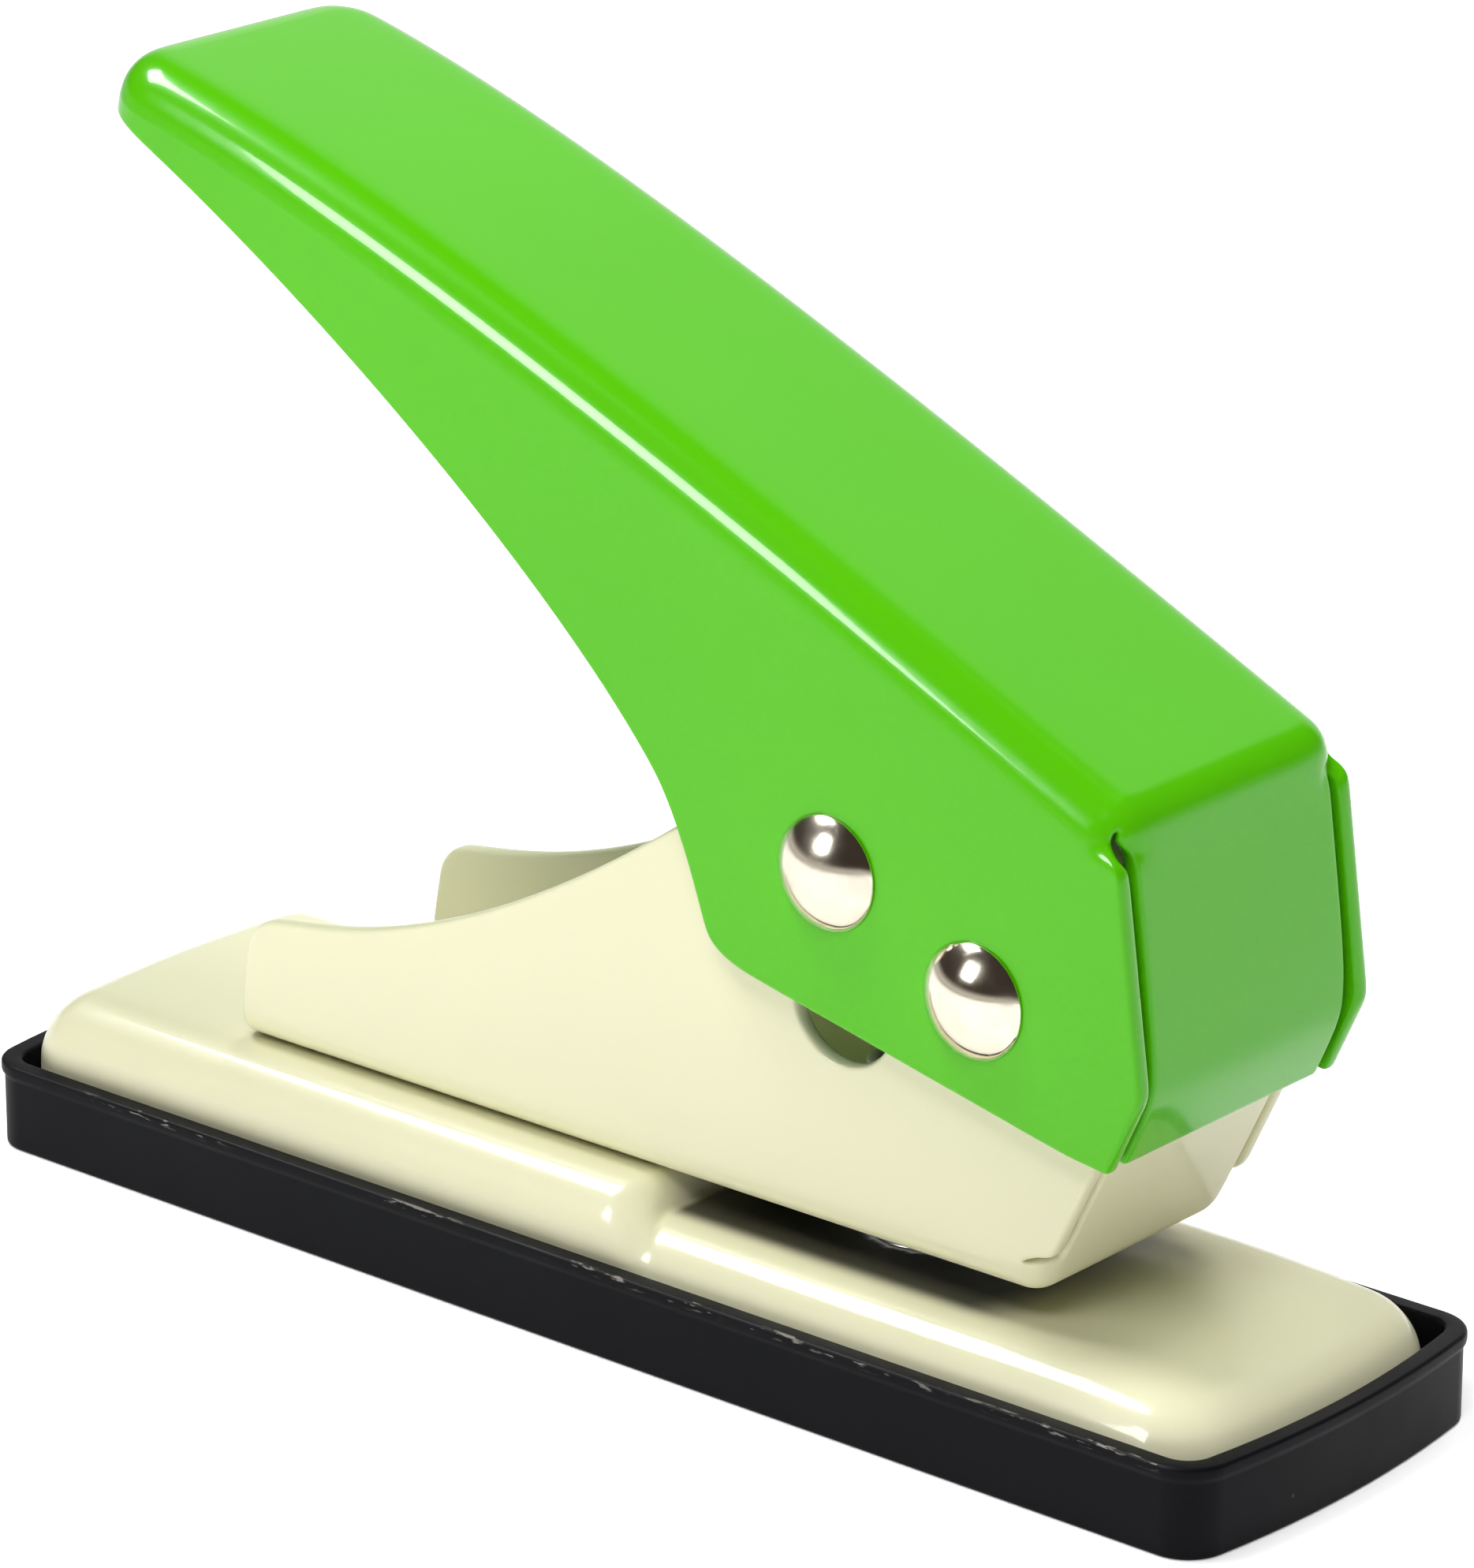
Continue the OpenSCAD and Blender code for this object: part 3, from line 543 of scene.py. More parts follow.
class HOLEPUNCH_OT_chip_tray(bpy.types.Operator):
    """Moulds the black chip tray: wall, rim bead, floor and rounded edges"""

    bl_idname = "holepunch.chip_tray"
    bl_label = "Chip tray"

    def execute(self, context):
        bead, wall, floor, corner, bow = 0.2, 1.15, 1.2, 3.2, 1.3
        soft, inner, hollow = 0.25, bead + wall, 12.0
        top, under_bead = TRAY_H, TRAY_H - 0.9
        turns = [(1 - math.sin(a), 1 - math.cos(a)) for a in [math.pi / 8 * k for k in (1, 2, 3)]]
        profile = [(hollow, 0.0), (bead + 3.0, 0.0), (bead + soft, 0.0)]
        profile += [(bead + soft * s, soft * c) for s, c in turns]
        profile += [(bead, soft), (bead, 2.6), (bead, under_bead - 0.3),
                    (bead * 0.85, under_bead - 0.12), (bead * 0.15, under_bead + 0.08),
                    (0.0, under_bead + 0.25), (0.0, top - soft)]
        profile += [(soft * c, top - soft * s) for s, c in turns]
        profile += [(soft, top), (inner - soft, top)]
        profile += [(inner - soft * s, top - soft * c) for s, c in turns]
        profile += [(inner, top - soft), (inner, 3.0), (inner, floor + 0.6),
                    (inner + 0.18, floor + 0.18), (inner + 0.6, floor), (hollow, floor)]
        stations = [-36.0 + 8.0 * i for i in range(10)]
        rings = []
        for inset, z in profile:
            r = max(corner - inset, soft)
            ring = bowed_half(TRAY_L - 2 * inset, TRAY_W - 2 * inset, r, bow, stations)
            rings.append([p + Z * z for p in ring])
        columns = list(zip(*rings))
        bm = bmesh.new()
        formed_sheet(bm, columns)
        for row in (0, -1):
            formed_sheet(bm, [[c[row], flat(c[row].x, c[row].z)] for c in columns])
        both_sides(bm, Vector((0, TRAY_W / 2, TRAY_H / 2)), Y)
        shade_flat(piece("chip_tray_moulding", bm, "tray", "chip_tray", "tray_plastic"))
        return {"FINISHED"}


class HOLEPUNCH_OT_base(bpy.types.Operator):
    """Presses the base: raised platform, paper stop, front platform and rolled edges"""

    bl_idname = "holepunch.base"
    bl_label = "Base"

    stop_x = PUNCH_X - 14.28
    nose_x, nose_run, nose_drop = 33.15, 18.0, 0.9
    tail_x, tail_run, tail_drop = -45.4, 6.0, 2.2
    crisp_run, eased_run, eased_ahead = 2.0, 4.6, 1.55

    def top(self, x, roll):
        """Height of the pressed top; its step is crisp in the middle and eases down the roll."""
        nose = max(x - self.nose_x, 0) / self.nose_run
        tail = max(self.tail_x - x, 0) / self.tail_run
        crisp = math.sin(roll) ** 4
        run = mix(self.eased_run, self.crisp_run, crisp)
        s = (self.stop_x + mix(self.eased_ahead, 0, crisp) - x) / run
        s = min(max(s, 0), 1)
        rise = mix(ease(s), 1 - (1 - s) ** 2.5, crisp)
        level = FRONT_Z + (PLATFORM_Z - FRONT_Z) * rise
        return level - self.nose_drop * nose * nose - self.tail_drop * tail ** 1.7

    def platforms(self, bm, edge):
        """Fills the top between the rolled edges, with a hole for the die."""
        rim, room = 0.3, 7.0
        rows = [[p, Vector((p.x, p.y * 0.5, p.z)), flat(p.x, p.z)] for p in edge]
        near = [i for i, p in enumerate(edge) if abs(p.x - PUNCH_X) < room]
        first, last = near[0], near[-1]
        for part in (rows[:first + 1], rows[last:]):
            formed_sheet(bm, part)
        hole = [half_hole(PUNCH_X, FRONT_Z, DIE_D / 2 + d, 16) for d in (0, rim)]
        formed_sheet(bm, list(zip(*hole)))
        loop = [row[0] for row in rows[first:last + 1]] + rows[last][1:]
        flat_plate(bm, [loop + hole[1] + rows[first][:0:-1]], Z)

    def execute(self, context):
        box = Box("base")
        (rear, front), width = box.x, 2 * box.y[1]
        corner, edge, bow = 4.6, 4.0, 1.3
        middle, length = (rear + front) / 2, front - rear
        stations = [-40.0 + 7.0 * i for i in range(6)]
        stations += [self.stop_x + mix(-3.4, 1.8, t) for t in steps(26)]
        stations += [mix(8.0, 44.0, t) for t in steps(14)]
        stations = [x - middle for x in stations]

        def ring(inset):
            half = bowed_half(length - 2 * inset, width - 2 * inset, corner - inset, bow, stations)
            return [p + flat(middle, 0) for p in half]

        rows = [[p + Z * z for p in ring(0)] for z in (box.z[0], 3.0)]
        for a in [math.radians(d) for d in (0, 11, 22, 33, 45, 56, 67, 78, 90)]:
            rows.append([p + Z * (self.top(p.x, a) - edge + edge * math.sin(a))
                         for p in ring(edge * (1 - math.cos(a)))])
        bm = bmesh.new()
        formed_sheet(bm, list(zip(*rows)))
        self.platforms(bm, rows[-1])
        both_sides(bm, flat(-20, PLATFORM_Z), Z)
        sheet_metal(piece("base_pressing", bm, "chassis", "base", "frame_paint"), BASE_T, 1)
        return {"FINISHED"}


# Frame

FRAME_LEAN = math.radians(25.4)
FRAME_BEND = 2.45
FRAME_FRONT = 3.4
FRAME_REAR_X = Box("frame").x[0]
FRAME_REAR_H, FRAME_REAR_R, FRAME_REAR_LEAN = 9.35, 3.0, 1.2
FLAP_OUT, FLAP_UP = slope(math.degrees(FRAME_LEAN))


def around(front, b):
    """Direction that turns from the front to the side."""
    return front * math.cos(b) + Y * math.sin(b)


def frame_front_at(h):
    return flat(PIVOT.x + FRAME_FRONT + h * math.tan(FRAME_LEAN), PLATFORM_Z + h)


FRAME_BALL = frame_front_at(FRAME_BEND * (1 - math.sin(FRAME_LEAN))) - flat(
    FRAME_BEND * math.cos(FRAME_LEAN), 0)
FRAME_BALL.z = PLATFORM_Z + FRAME_BEND


def frame_rear_at(z):
    """The sides' rear edge leans forward."""
    share = (z - PLATFORM_Z) / (FRAME_REAR_H - FRAME_REAR_R)
    return FRAME_REAR_X + FRAME_REAR_LEAN * share


class HOLEPUNCH_OT_frame(bpy.types.Operator):
    """Folds the frame: web, slotted sides, front flap with its slits and drawn corners"""

    bl_idname = "holepunch.frame"
    bl_label = "Frame"

    bend_steps = 6
    flap_h = 10.2
    flap_half = 8.5
    flap_slit = 0.3
    relief = ((1.1, 0.24), (1.6, 0.5), (2.2, 0.68))
    relief_h = 0.84
    lip_h, lip_rise = 1.66, 0.45
    slot_gap, slot_ahead, slot_below, slot_wall = 0.3, 1.4, 2.4, 4.3
    pivot_wall_r = 10.2
    sweep, sweep_ease = math.radians(29), 0.148
    rise, rise_ease = 1.7, 0.457
    joined = [math.radians(a) for a in (90, 84, 77, 71)]

    def bend(self, centre, out):
        turns = [turn_between(-Z, out, t) for t in steps(self.bend_steps)]
        return [centre + d * FRAME_BEND for d in turns]

    def slot_loop(self):
        """Slot that clears the drive rivet's swing, with its upper end's middle and radius."""
        far_x = PIVOT.x - (DRIVE - PIVOT).length
        rear, front = far_x - SHANK_R - self.slot_gap, DRIVE.x + SHANK_R + self.slot_ahead
        r = (front - rear) / 2
        top = flat(rear + r, DRIVE.z + SHANK_R + self.slot_gap - r)
        low = flat(rear + r, DRIVE.z - DRIVE_DROP - SHANK_R - self.slot_below + r)
        return arc(top, r, 0, 180, 12) + arc(low, r, 180, 360, 12), top, r

    def side_loops(self, xs):
        """A side's outline, slot and pivot hole."""
        slot, slot_top, slot_r = self.slot_loop()
        hump_r, pivot_r, sweep = slot_r + self.slot_wall, self.pivot_wall_r, self.sweep
        corner = flat(FRAME_REAR_X + FRAME_REAR_LEAN + FRAME_REAR_R,
                      PLATFORM_Z + FRAME_REAR_H - FRAME_REAR_R)
        away = PIVOT - slot_top
        meet = math.degrees(math.atan2(away.z, away.x)
                            + math.acos((hump_r - pivot_r) / away.length))
        sweep_end = slot_top + flat(-math.sin(sweep), math.cos(sweep)) * hump_r
        sweep_from = corner + flat(0, FRAME_REAR_R)
        run = sweep_end.x - sweep_from.x
        curve = [sweep_from, sweep_from + flat(run * self.rise_ease, self.rise),
                 sweep_end - flat(1, math.tan(sweep)) * (run * self.sweep_ease), sweep_end]
        x, z = FRAME_BALL.x, FRAME_BALL.z
        outline = [flat(x, z) for x in xs]
        outline += [flat(x + FLAP_OUT.x * FRAME_BEND * math.cos(b), z) for b in self.joined[1:]]
        outline += [flat(x + along, z + rise) for along, rise in self.relief]
        edge_h = z + self.relief_h - PLATFORM_Z
        outline += [frame_front_at(mix(edge_h, self.flap_h, t)) for t in steps(6)]
        outline += arc(PIVOT, pivot_r, -20, meet, 12)
        outline += arc(slot_top, hump_r, meet, 90 + math.degrees(sweep), 8)[1:]
        outline += [bezier(curve, 1 - t) for t in steps(12)][1:]
        outline += arc(corner, FRAME_REAR_R, 90, 180, 6)[1:]
        hole = arc(PIVOT, SHANK_R + RUN_GAP, 0, 330, 11)
        return [[p + Y * FRAME_HALF_W for p in loop] for loop in (outline[::-1], slot, hole)]

    def execute(self, context):
        ball, r = FRAME_BALL, FRAME_BEND
        ball_y = FRAME_HALF_W - r
        band = context.scene.punch_sizes.sheet_edge / MM
        bm = bmesh.new()

        flap_columns = []
        fronts = [(ball_y * t, 0.0) for t in steps(4)]
        slit_bs = [math.asin((self.flap_half - d - ball_y) / r) for d in (band, 0)]
        fronts += [(ball_y + r * math.sin(b), b) for b in slit_bs]
        flap_len = (self.flap_h - (ball.z + FLAP_OUT.z * r - PLATFORM_Z)) / math.cos(FRAME_LEAN)
        heights = [self.lip_h - band] + [mix(self.lip_h, flap_len - band, t) for t in steps(5)]
        for y, b in fronts:
            column = self.bend(ball + Y * min(y, ball_y), around(FLAP_OUT, b))
            for h in heights + [flap_len]:
                back = r * (1 - math.cos(b)) * (1 - ease(h / 3.0))
                column.append(ball + FLAP_OUT * (r - back) + FLAP_UP * h + Y * y)
            flap_columns.append(column)
        formed_sheet(bm, flap_columns)

        rear = frame_rear_at(ball.z)
        xs = [rear] + [mix(rear + 2.2 * band, ball.x, t) for t in steps(20)]
        bends = []
        for x in xs:
            column = self.bend(flat(x, ball.z) + Y * ball_y, Y)
            if x < rear + 1:
                for p in column:
                    p.x += frame_rear_at(p.z) - rear
            bends.append(column)
        slit_far = math.asin((self.flap_half + self.flap_slit - ball_y) / r)
        free = [mix(self.joined[-1], slit_far, t) for t in steps(4)][1:]
        lips = []
        for b in self.joined[1:] + free + slit_bs[-1:]:
            column = self.bend(ball + Y * ball_y, around(FLAP_OUT, b))
            bends.append(column)
            p = column[-1]
            if b == slit_bs[-1]:
                lips.append(flap_columns[-1][self.bend_steps:self.bend_steps + 3])
            elif b in self.joined:
                end = Vector((p.x, FRAME_HALF_W, ball.z))
                lips.append([p, mix(p, end, 0.5), end])
            else:
                share = (self.joined[-1] - b) / (self.joined[-1] - slit_far)
                end = p + FLAP_UP * ((ball.z + self.lip_rise * share - p.z) / FLAP_UP.z)
                lips.append([p, end - FLAP_UP * band, end])
        formed_sheet(bm, bends)
        formed_sheet(bm, [[bends[len(xs) - 1][-1]] * 3] + lips)

        web = [c[0] for c in bends[:len(xs)] + flap_columns[3::-1]]
        web += half_hole(PUNCH_X, PLATFORM_Z, GUIDE_D / 2 + PRESS_GAP, 8)
        for x in FRAME_RIVETS.values():
            web += half_hole(x, PLATFORM_Z, FRAME_RIVET_D / 2 + PRESS_GAP, 8)
        web.append(flat(FRAME_REAR_X, PLATFORM_Z))
        flat_plate(bm, [web], -Z)
        flat_plate(bm, self.side_loops(xs), Y, band)
        both_sides(bm, Vector((-20, FRAME_HALF_W, 16)), Y)
        sheet_metal(piece("frame_folding", bm, "chassis", "frame", "frame_paint"), SHEET_T, 2)
        return {"FINISHED"}


# Lever

def at_pivot(x, z):
    return PIVOT + flat(x, z)


TAIL_ALONG, TAIL_UP = slope(13.5)
FRONT_ALONG, FRONT_UP = slope(25.3)
RIDGE_TAIL = at_pivot(-70.9, 43.9)
RIDGE_FRONT = at_pivot(7.5, 11.95)
RIDGE = [RIDGE_TAIL, RIDGE_TAIL + TAIL_ALONG * 19, RIDGE_FRONT - FRONT_ALONG * 36, RIDGE_FRONT]
TAIL_LOW = at_pivot(-71.5, 42.7)
KNEE = at_pivot(-26.15, 9.3)
HEEL = at_pivot(-21.6, -0.6)
SOLE_REAR = at_pivot(-17.6, -3.05)
TOE = at_pivot(10.3, -8.75)
KINK = at_pivot(12.8, -3.3)
BROW = at_pivot(10.66, 12.4)
BELLY = [TAIL_LOW, TAIL_LOW + flat(15.4, -7.6), KNEE + flat(-8.95, 11), KNEE]
SHIN = [KNEE, KNEE + flat(1.75, -1.9), HEEL + flat(-1.1, 3.6), HEEL]
HEEL_BEND = [HEEL, HEEL + flat(0.3, -1.1), SOLE_REAR + flat(-2.4, 0.5), SOLE_REAR]


class HOLEPUNCH_OT_lever(bpy.types.Operator):
    """Draws the lever: web, bends, nose, sides and the front flap with its slits"""

    bl_idname = "holepunch.lever"
    bl_label = "Lever"

    across = 4
    bend_steps = 6
    flap_half = 9.8
    slit = 0.36
    slit_from = 5
    slit_top = 10.65
    falls = (0, 0.02, 0.045, 0.075, 0.13, 0.22, 0.34, 0.46, 0.58,
             0.67, 0.7256, 0.78, 0.86, 0.94, 1)
    nose_r = 4.6
    slit_settle = 1.2
    flap_soft = 1.8
    flap_back, flap_row = 0.1, 1.1
    side_soft = 1.5
    upper, lower = (KINK - BROW).length, (TOE - KINK).length
    total = upper + lower

    def edge_path(self, f):
        """Front edge of a side: brow, kink, toe."""
        h = f * self.total
        if h <= self.upper:
            return BROW + (KINK - BROW) * (h / self.upper)
        return KINK + (TOE - KINK) * ((h - self.upper) / self.lower)

    def flap_path(self, f):
        """Face of the flap, which turns smoothly where the sides have a kink."""
        above, below = 8.0, 5.0
        along = f * self.total - self.upper
        if -above < along < below:
            up, down = (BROW - KINK).normalized(), (TOE - KINK).normalized()
            bend = [KINK + up * above, KINK, KINK, KINK + down * below]
            return bezier(bend, (along + above) / (above + below))
        return self.edge_path(f)

    def bend(self, centre, up, out, r):
        return [centre + turn_between(up, out, t) * r for t in steps(self.bend_steps)]

    def add_band(self, column, band):
        """Adds a row at an even distance from the lower edge, and makes room for it."""
        start, end = column[self.bend_steps], column[-1]
        if (end - column[-2]).length > 1.5 * band:
            column.insert(-1, end + (column[-2] - end).normalized() * band)
            return
        share = 1 - band / (end - start).length
        for j, f in enumerate(self.falls):
            column[self.bend_steps + j] = mix(start, end, f * share)
        column.append(end)

    def ridge_at(self, t):
        p = bezier(RIDGE, t)
        ahead = (bezier(RIDGE, min(t + 0.01, 1)) - bezier(RIDGE, max(t - 0.01, 0))).normalized()
        return p, flat(-ahead.z, ahead.x)

    def lower_edge(self, nose_foot):
        """Points of a side's lower edge from front to tail, with the ridge's share at each."""
        sole_from = mix(TOE, SOLE_REAR, 0.12)
        sole_from.z = mix(at_pivot(0, -9.03).z, SOLE_REAR.z, 0.12)
        ends = [nose_foot if t == 1 else bezier(BELLY, 1 - t * 0.97) for t in steps(14)]
        runs = [
            ([mix(sole_from, SOLE_REAR, t) for t in steps(4)], 1.0, 0.80),
            ([bezier(HEEL_BEND, 1 - t) for t in steps(5)], 0.80, 0.74),
            ([bezier(SHIN, 1 - t) for t in steps(5)], 0.74, 0.62),
            (ends, 0.62, 0.0246)]
        points = [(sole_from, 1.0)]
        for run, start, end in runs:
            points += [(p, mix(start, end, i / (len(run) - 1))) for i, p in enumerate(run) if i]
        return points

    def foot_below(self, p):
        """Where the nose's wall under a point meets the lower edge."""
        edge = [bezier(BELLY, t / 40) for t in range(20, -1, -1)]
        edge.append(TAIL_LOW + flat(-self.nose_r, 1.0))
        for a, b in zip(edge, edge[1:]):
            along, gap = b - a, a - p
            det = TAIL_UP.x * along.z - along.x * TAIL_UP.z
            s = (along.x * gap.z - gap.x * along.z) / det
            u = (TAIL_UP.z * gap.x - TAIL_UP.x * gap.z) / det
            if 0 <= u <= 1:
                return p - TAIL_UP * s

    def execute(self, context):
        r = context.scene.punch_sizes.lever_bend / MM
        band = context.scene.punch_sizes.sheet_edge / MM
        half = LEVER_HALF_W
        ball_y = half - r
        front_out = (BROW - RIDGE_FRONT).normalized()
        total = self.total
        slit_far = math.asin((self.slit_top - ball_y) / r) + self.slit / r
        down = (KINK - BROW).normalized()
        columns = []

        for t in steps(self.across):
            y = ball_y * t
            column = self.bend(RIDGE_FRONT + Y * y, FRONT_UP, front_out, r)
            column += [self.flap_path(f) - front_out * self.flap_back * ease(f * total / 3) + Y * y
                       for f in self.falls[1:]]
            columns.append(column)
        for d in (self.flap_row, band, 0.0):
            b = math.asin((self.slit_top - d - ball_y) / r)
            column = self.bend(RIDGE_FRONT + Y * ball_y, FRONT_UP, around(front_out, b), r)
            for f in self.falls[1:]:
                level = ease(f * total / self.flap_soft)
                back = mix(r * (1 - math.cos(b)), self.flap_back, level)
                y = mix(self.slit_top, self.flap_half, ease(f * total / self.slit_settle)) - d
                column.append(self.flap_path(f) - front_out * back + Y * y)
            columns.append(column)
        flap_last = len(columns) - 1

        nose = RIDGE_TAIL + TAIL_ALONG * (self.nose_r - r)
        lower = self.lower_edge(self.foot_below(nose))
        sole_first = lower[0][0]
        for k, b in enumerate([mix(slit_far, math.pi / 2, t) for t in steps(5)]):
            column = self.bend(RIDGE_FRONT + Y * ball_y, FRONT_UP, around(front_out, b), r)
            for f in self.falls[1:]:
                level = ease(f * total / self.side_soft)
                edge, back = self.edge_path(f), mix(RIDGE_FRONT, sole_first, f)
                near = edge + (back - edge).normalized() * band
                plain = mix(near, back, (k - 1) / 4) if k else edge
                drawn = RIDGE_FRONT + front_out * (r * math.cos(b)) + down * (f * total)
                y = mix(ball_y + r * math.sin(b), half, level)
                column.append(mix(drawn, plain, level) + Y * y)
            columns.append(column)
        side_first = len(columns) - 1

        for foot, t in lower[1:]:
            p, up = self.ridge_at(t)
            column = self.bend(p + Y * ball_y, up, Y, r)
            column += [mix(p, foot, f) + Y * half for f in self.falls[1:]]
            columns.append(column)
        ring = self.nose_r - r
        for b in [math.pi / 2 * t for t in steps(6)][1:]:
            out = -TAIL_ALONG * math.sin(b) + Y * math.cos(b)
            centre = nose + Y * (half - self.nose_r) + out * ring
            column = self.bend(centre, TAIL_UP, out, r)
            wall = column[-1]
            level = flat(wall.x, wall.z)
            foot = self.foot_below(level)
            column += [mix(level, foot, f) + Y * wall.y for f in self.falls[1:]]
            columns.append(column)
        nose_side = len(columns) - 1
        for t in steps(self.across)[1:]:
            shift = Y * ((half - self.nose_r) * t)
            columns.append([p - shift for p in columns[nose_side]])

        for c in columns:
            self.add_band(c, band)

        bm = bmesh.new()
        cut = self.slit_from
        formed_sheet(bm, [c[:cut + 1] for c in columns])
        formed_sheet(bm, [c[cut:] for c in columns[:flap_last + 1]])
        formed_sheet(bm, [c[cut:] for c in columns[flap_last + 1:]])

        tops = [[c[0] for c in columns[self.across::-1]]]
        for c in columns[side_first + 1:nose_side]:
            tops.append([Vector((c[0].x, c[0].y * (1 - t), c[0].z)) for t in steps(self.across)])
        tops.append([c[0] for c in columns[nose_side:]])
        formed_sheet(bm, tops)
        both_sides(bm, at_pivot(-30, 31), Z)
        sheet_metal(piece("lever_drawing", bm, "lever", "lever", "lever_paint"), SHEET_T, 2)
        return {"FINISHED"}


# Rivets and turned pieces

def domed_profile(head_d, head_h, shank_d, length):
    """Half section of a rivet with two domed heads, along its axis."""
    rim = 0.22
    rise = head_h - rim
    ball = (head_d * head_d / 4 + rise * rise) / (2 * rise)
    widest = math.asin(head_d / 2 / ball)
    cap = [(ball * math.sin(a), length / 2 + head_h - ball + ball * math.cos(a))
           for a in [widest * t for t in steps(14)]]
    cap[-1] = (head_d / 2 - 0.04, cap[-1][1])
    upper = cap + [(head_d / 2, length / 2 + rim * 0.6), (head_d / 2 - 0.05, length / 2),
                   (shank_d / 2, length / 2), (shank_d / 2, 0.0)]
    return upper + [(x, -h) for x, h in reversed(upper[:-1])]


class HOLEPUNCH_OT_rivets(bpy.types.Operator):
    """Heads the rivets: pivot and drive through the lever, two through the web"""

    bl_idname = "holepunch.rivets"
    bl_label = "Rivets"

    def execute(self, context):
        sizes = context.scene.punch_sizes
        head, rise = sizes.rivet_head / MM, sizes.rivet_rise / MM
        for name, at in (("pivot_rivet", PIVOT), ("drive_rivet", DRIVE)):
            bm = turned(domed_profile(head, rise, 2 * SHANK_R, 2 * LEVER_HALF_W), at, Y, 64)
            piece(name + "_headed", bm, "lever", name, "rivet_nickel")
        for name, x in FRAME_RIVETS.items():
            middle = flat(x, PLATFORM_Z + (SHEET_T - BASE_T) / 2)
            profile = domed_profile(FRAME_HEAD_D, FRAME_HEAD_H, FRAME_RIVET_D, SHEET_T + BASE_T)
            bm = turned(profile, middle, Z)
            piece(name + "_headed", bm, "chassis", name, "rivet_nickel")
        return {"FINISHED"}


def bushed(outer, bore, low, high, flange=None):
    """Closed half section of a bush with soft edges, and with a flange [diameter, low, high]."""
    body, hole, soft = outer / 2, bore / 2, 0.15
    section = [(hole + soft, low), (body - soft, low), (body, low + soft)]
    if flange:
        r, f_low, f_high = flange[0] / 2, flange[1], flange[2]
        section += [(body, f_low), (r - soft, f_low), (r, f_low + soft),
                    (r, f_high - soft), (r - soft, f_high)]
    if flange and f_high < high:
        section.append((body, f_high))
    if not flange or f_high < high:
        section += [(body, high - soft), (body - soft, high)]
    section += [(hole + soft, high), (hole, high - soft), (hole, low + soft)]
    return section + section[:1]


class HOLEPUNCH_OT_turned_pieces(bpy.types.Operator):
    """Turns the punch, guide, die, clip ring, sleeve and spacer"""

    bl_idname = "holepunch.turned_pieces"
    bl_label = "Turned pieces"

    def execute(self, context):
        at, bore = flat(PUNCH_X, 0), 2 * (PUNCH_R + RUN_GAP)
        under, inner = FRONT_Z - BASE_T, FRAME_HALF_W - SHEET_T
        die = bushed(DIE_D, bore, FRONT_Z - DIE_H, FRONT_Z,
                     (FLANGE_D, under - DIE_FLANGE_T, under))
        guide = bushed(GUIDE_D, bore, PLATFORM_Z, GUIDE_TOP_Z,
                       (FLANGE_D, PLATFORM_Z + SHEET_T, GUIDE_TOP_Z))
        sleeve_end, spacer_end = inner - SLEEVE_GAP, inner - PRESS_GAP
        sleeve = bushed(SLEEVE_D, 2 * (SHANK_R + PRESS_GAP), -sleeve_end, sleeve_end)
        spacer = bushed(SPACER_D, 2 * (SHANK_R + RUN_GAP), -spacer_end, spacer_end)
        for name, body, section, centre, axis in (
                ("die_bush", "chassis", die, at, Z), ("punch_guide", "chassis", guide, at, Z),
                ("drive_sleeve", "lever", sleeve, DRIVE, Y),
                ("pivot_spacer", "chassis", spacer, PIVOT, Y)):
            bm = turned(section, centre, axis)
            shade_flat(piece(name + "_turned", bm, body, name, "tool_steel"))
        self.punch()
        self.clip_ring()
        return {"FINISHED"}

    def punch(self):
        """Punch with a groove for the clip ring and a hollow-ground end."""
        r, grind_r, soft, land, land_up = PUNCH_R, 5.0, 0.3, 0.6, 1.6
        low, high = PUNCH_TIP_Z, PUNCH_TOP_Z
        groove_low, groove_high = RING_Z - PRESS_GAP, RING_Z + RING_T + PRESS_GAP
        section = [(r * t, low) for t in steps(8)]
        section += [(r, low + land), (r, groove_low), (GROOVE_R, groove_low),
                    (GROOVE_R, groove_high), (r, groove_high), (r, high - soft),
                    (r - soft, high), (0.0, high)]
        bm = turned(section, flat(PUNCH_X, 0), Z)
        for v in bm.verts:
            if v.co.z < low + land / 2:
                away = v.co.x - PUNCH_X
                v.co.z += math.sqrt(grind_r ** 2 - away * away) - math.sqrt(grind_r ** 2 - r * r)
            elif v.co.z < low + land_up:
                v.co.z = low + land_up
        soft_edges(piece("punch_pin_ground", bm, "punch", "punch_pin", "tool_steel"), 0.06, 50)

    def clip_ring(self):
        """Spring-steel ring with an open side."""
        bore, outer, opening = GROOVE_R + PRESS_GAP, 4.8, math.radians(37)
        bm = bmesh.new()
        points = [(bore, 0), (outer, 0), (outer, RING_T), (bore, RING_T)]
        start = Matrix.Rotation(opening, 4, "Z")
        verts = [bm.verts.new(start @ flat(x, z)) for x, z in points]
        first = bm.faces.new(verts)
        bmesh.ops.spin(
            bm, geom=[first, *first.edges, *verts], cent=(0, 0, 0), axis=Z,
            angle=math.tau - 2 * opening, steps=40)
        bmesh.ops.translate(bm, verts=bm.verts[:], vec=(PUNCH_X, 0, RING_Z))
        bmesh.ops.recalc_face_normals(bm, faces=bm.faces[:])
        obj = piece("retaining_ring_clip", bm, "punch", "retaining_ring", "tool_steel")
        soft_edges(obj, 0.12, 40)


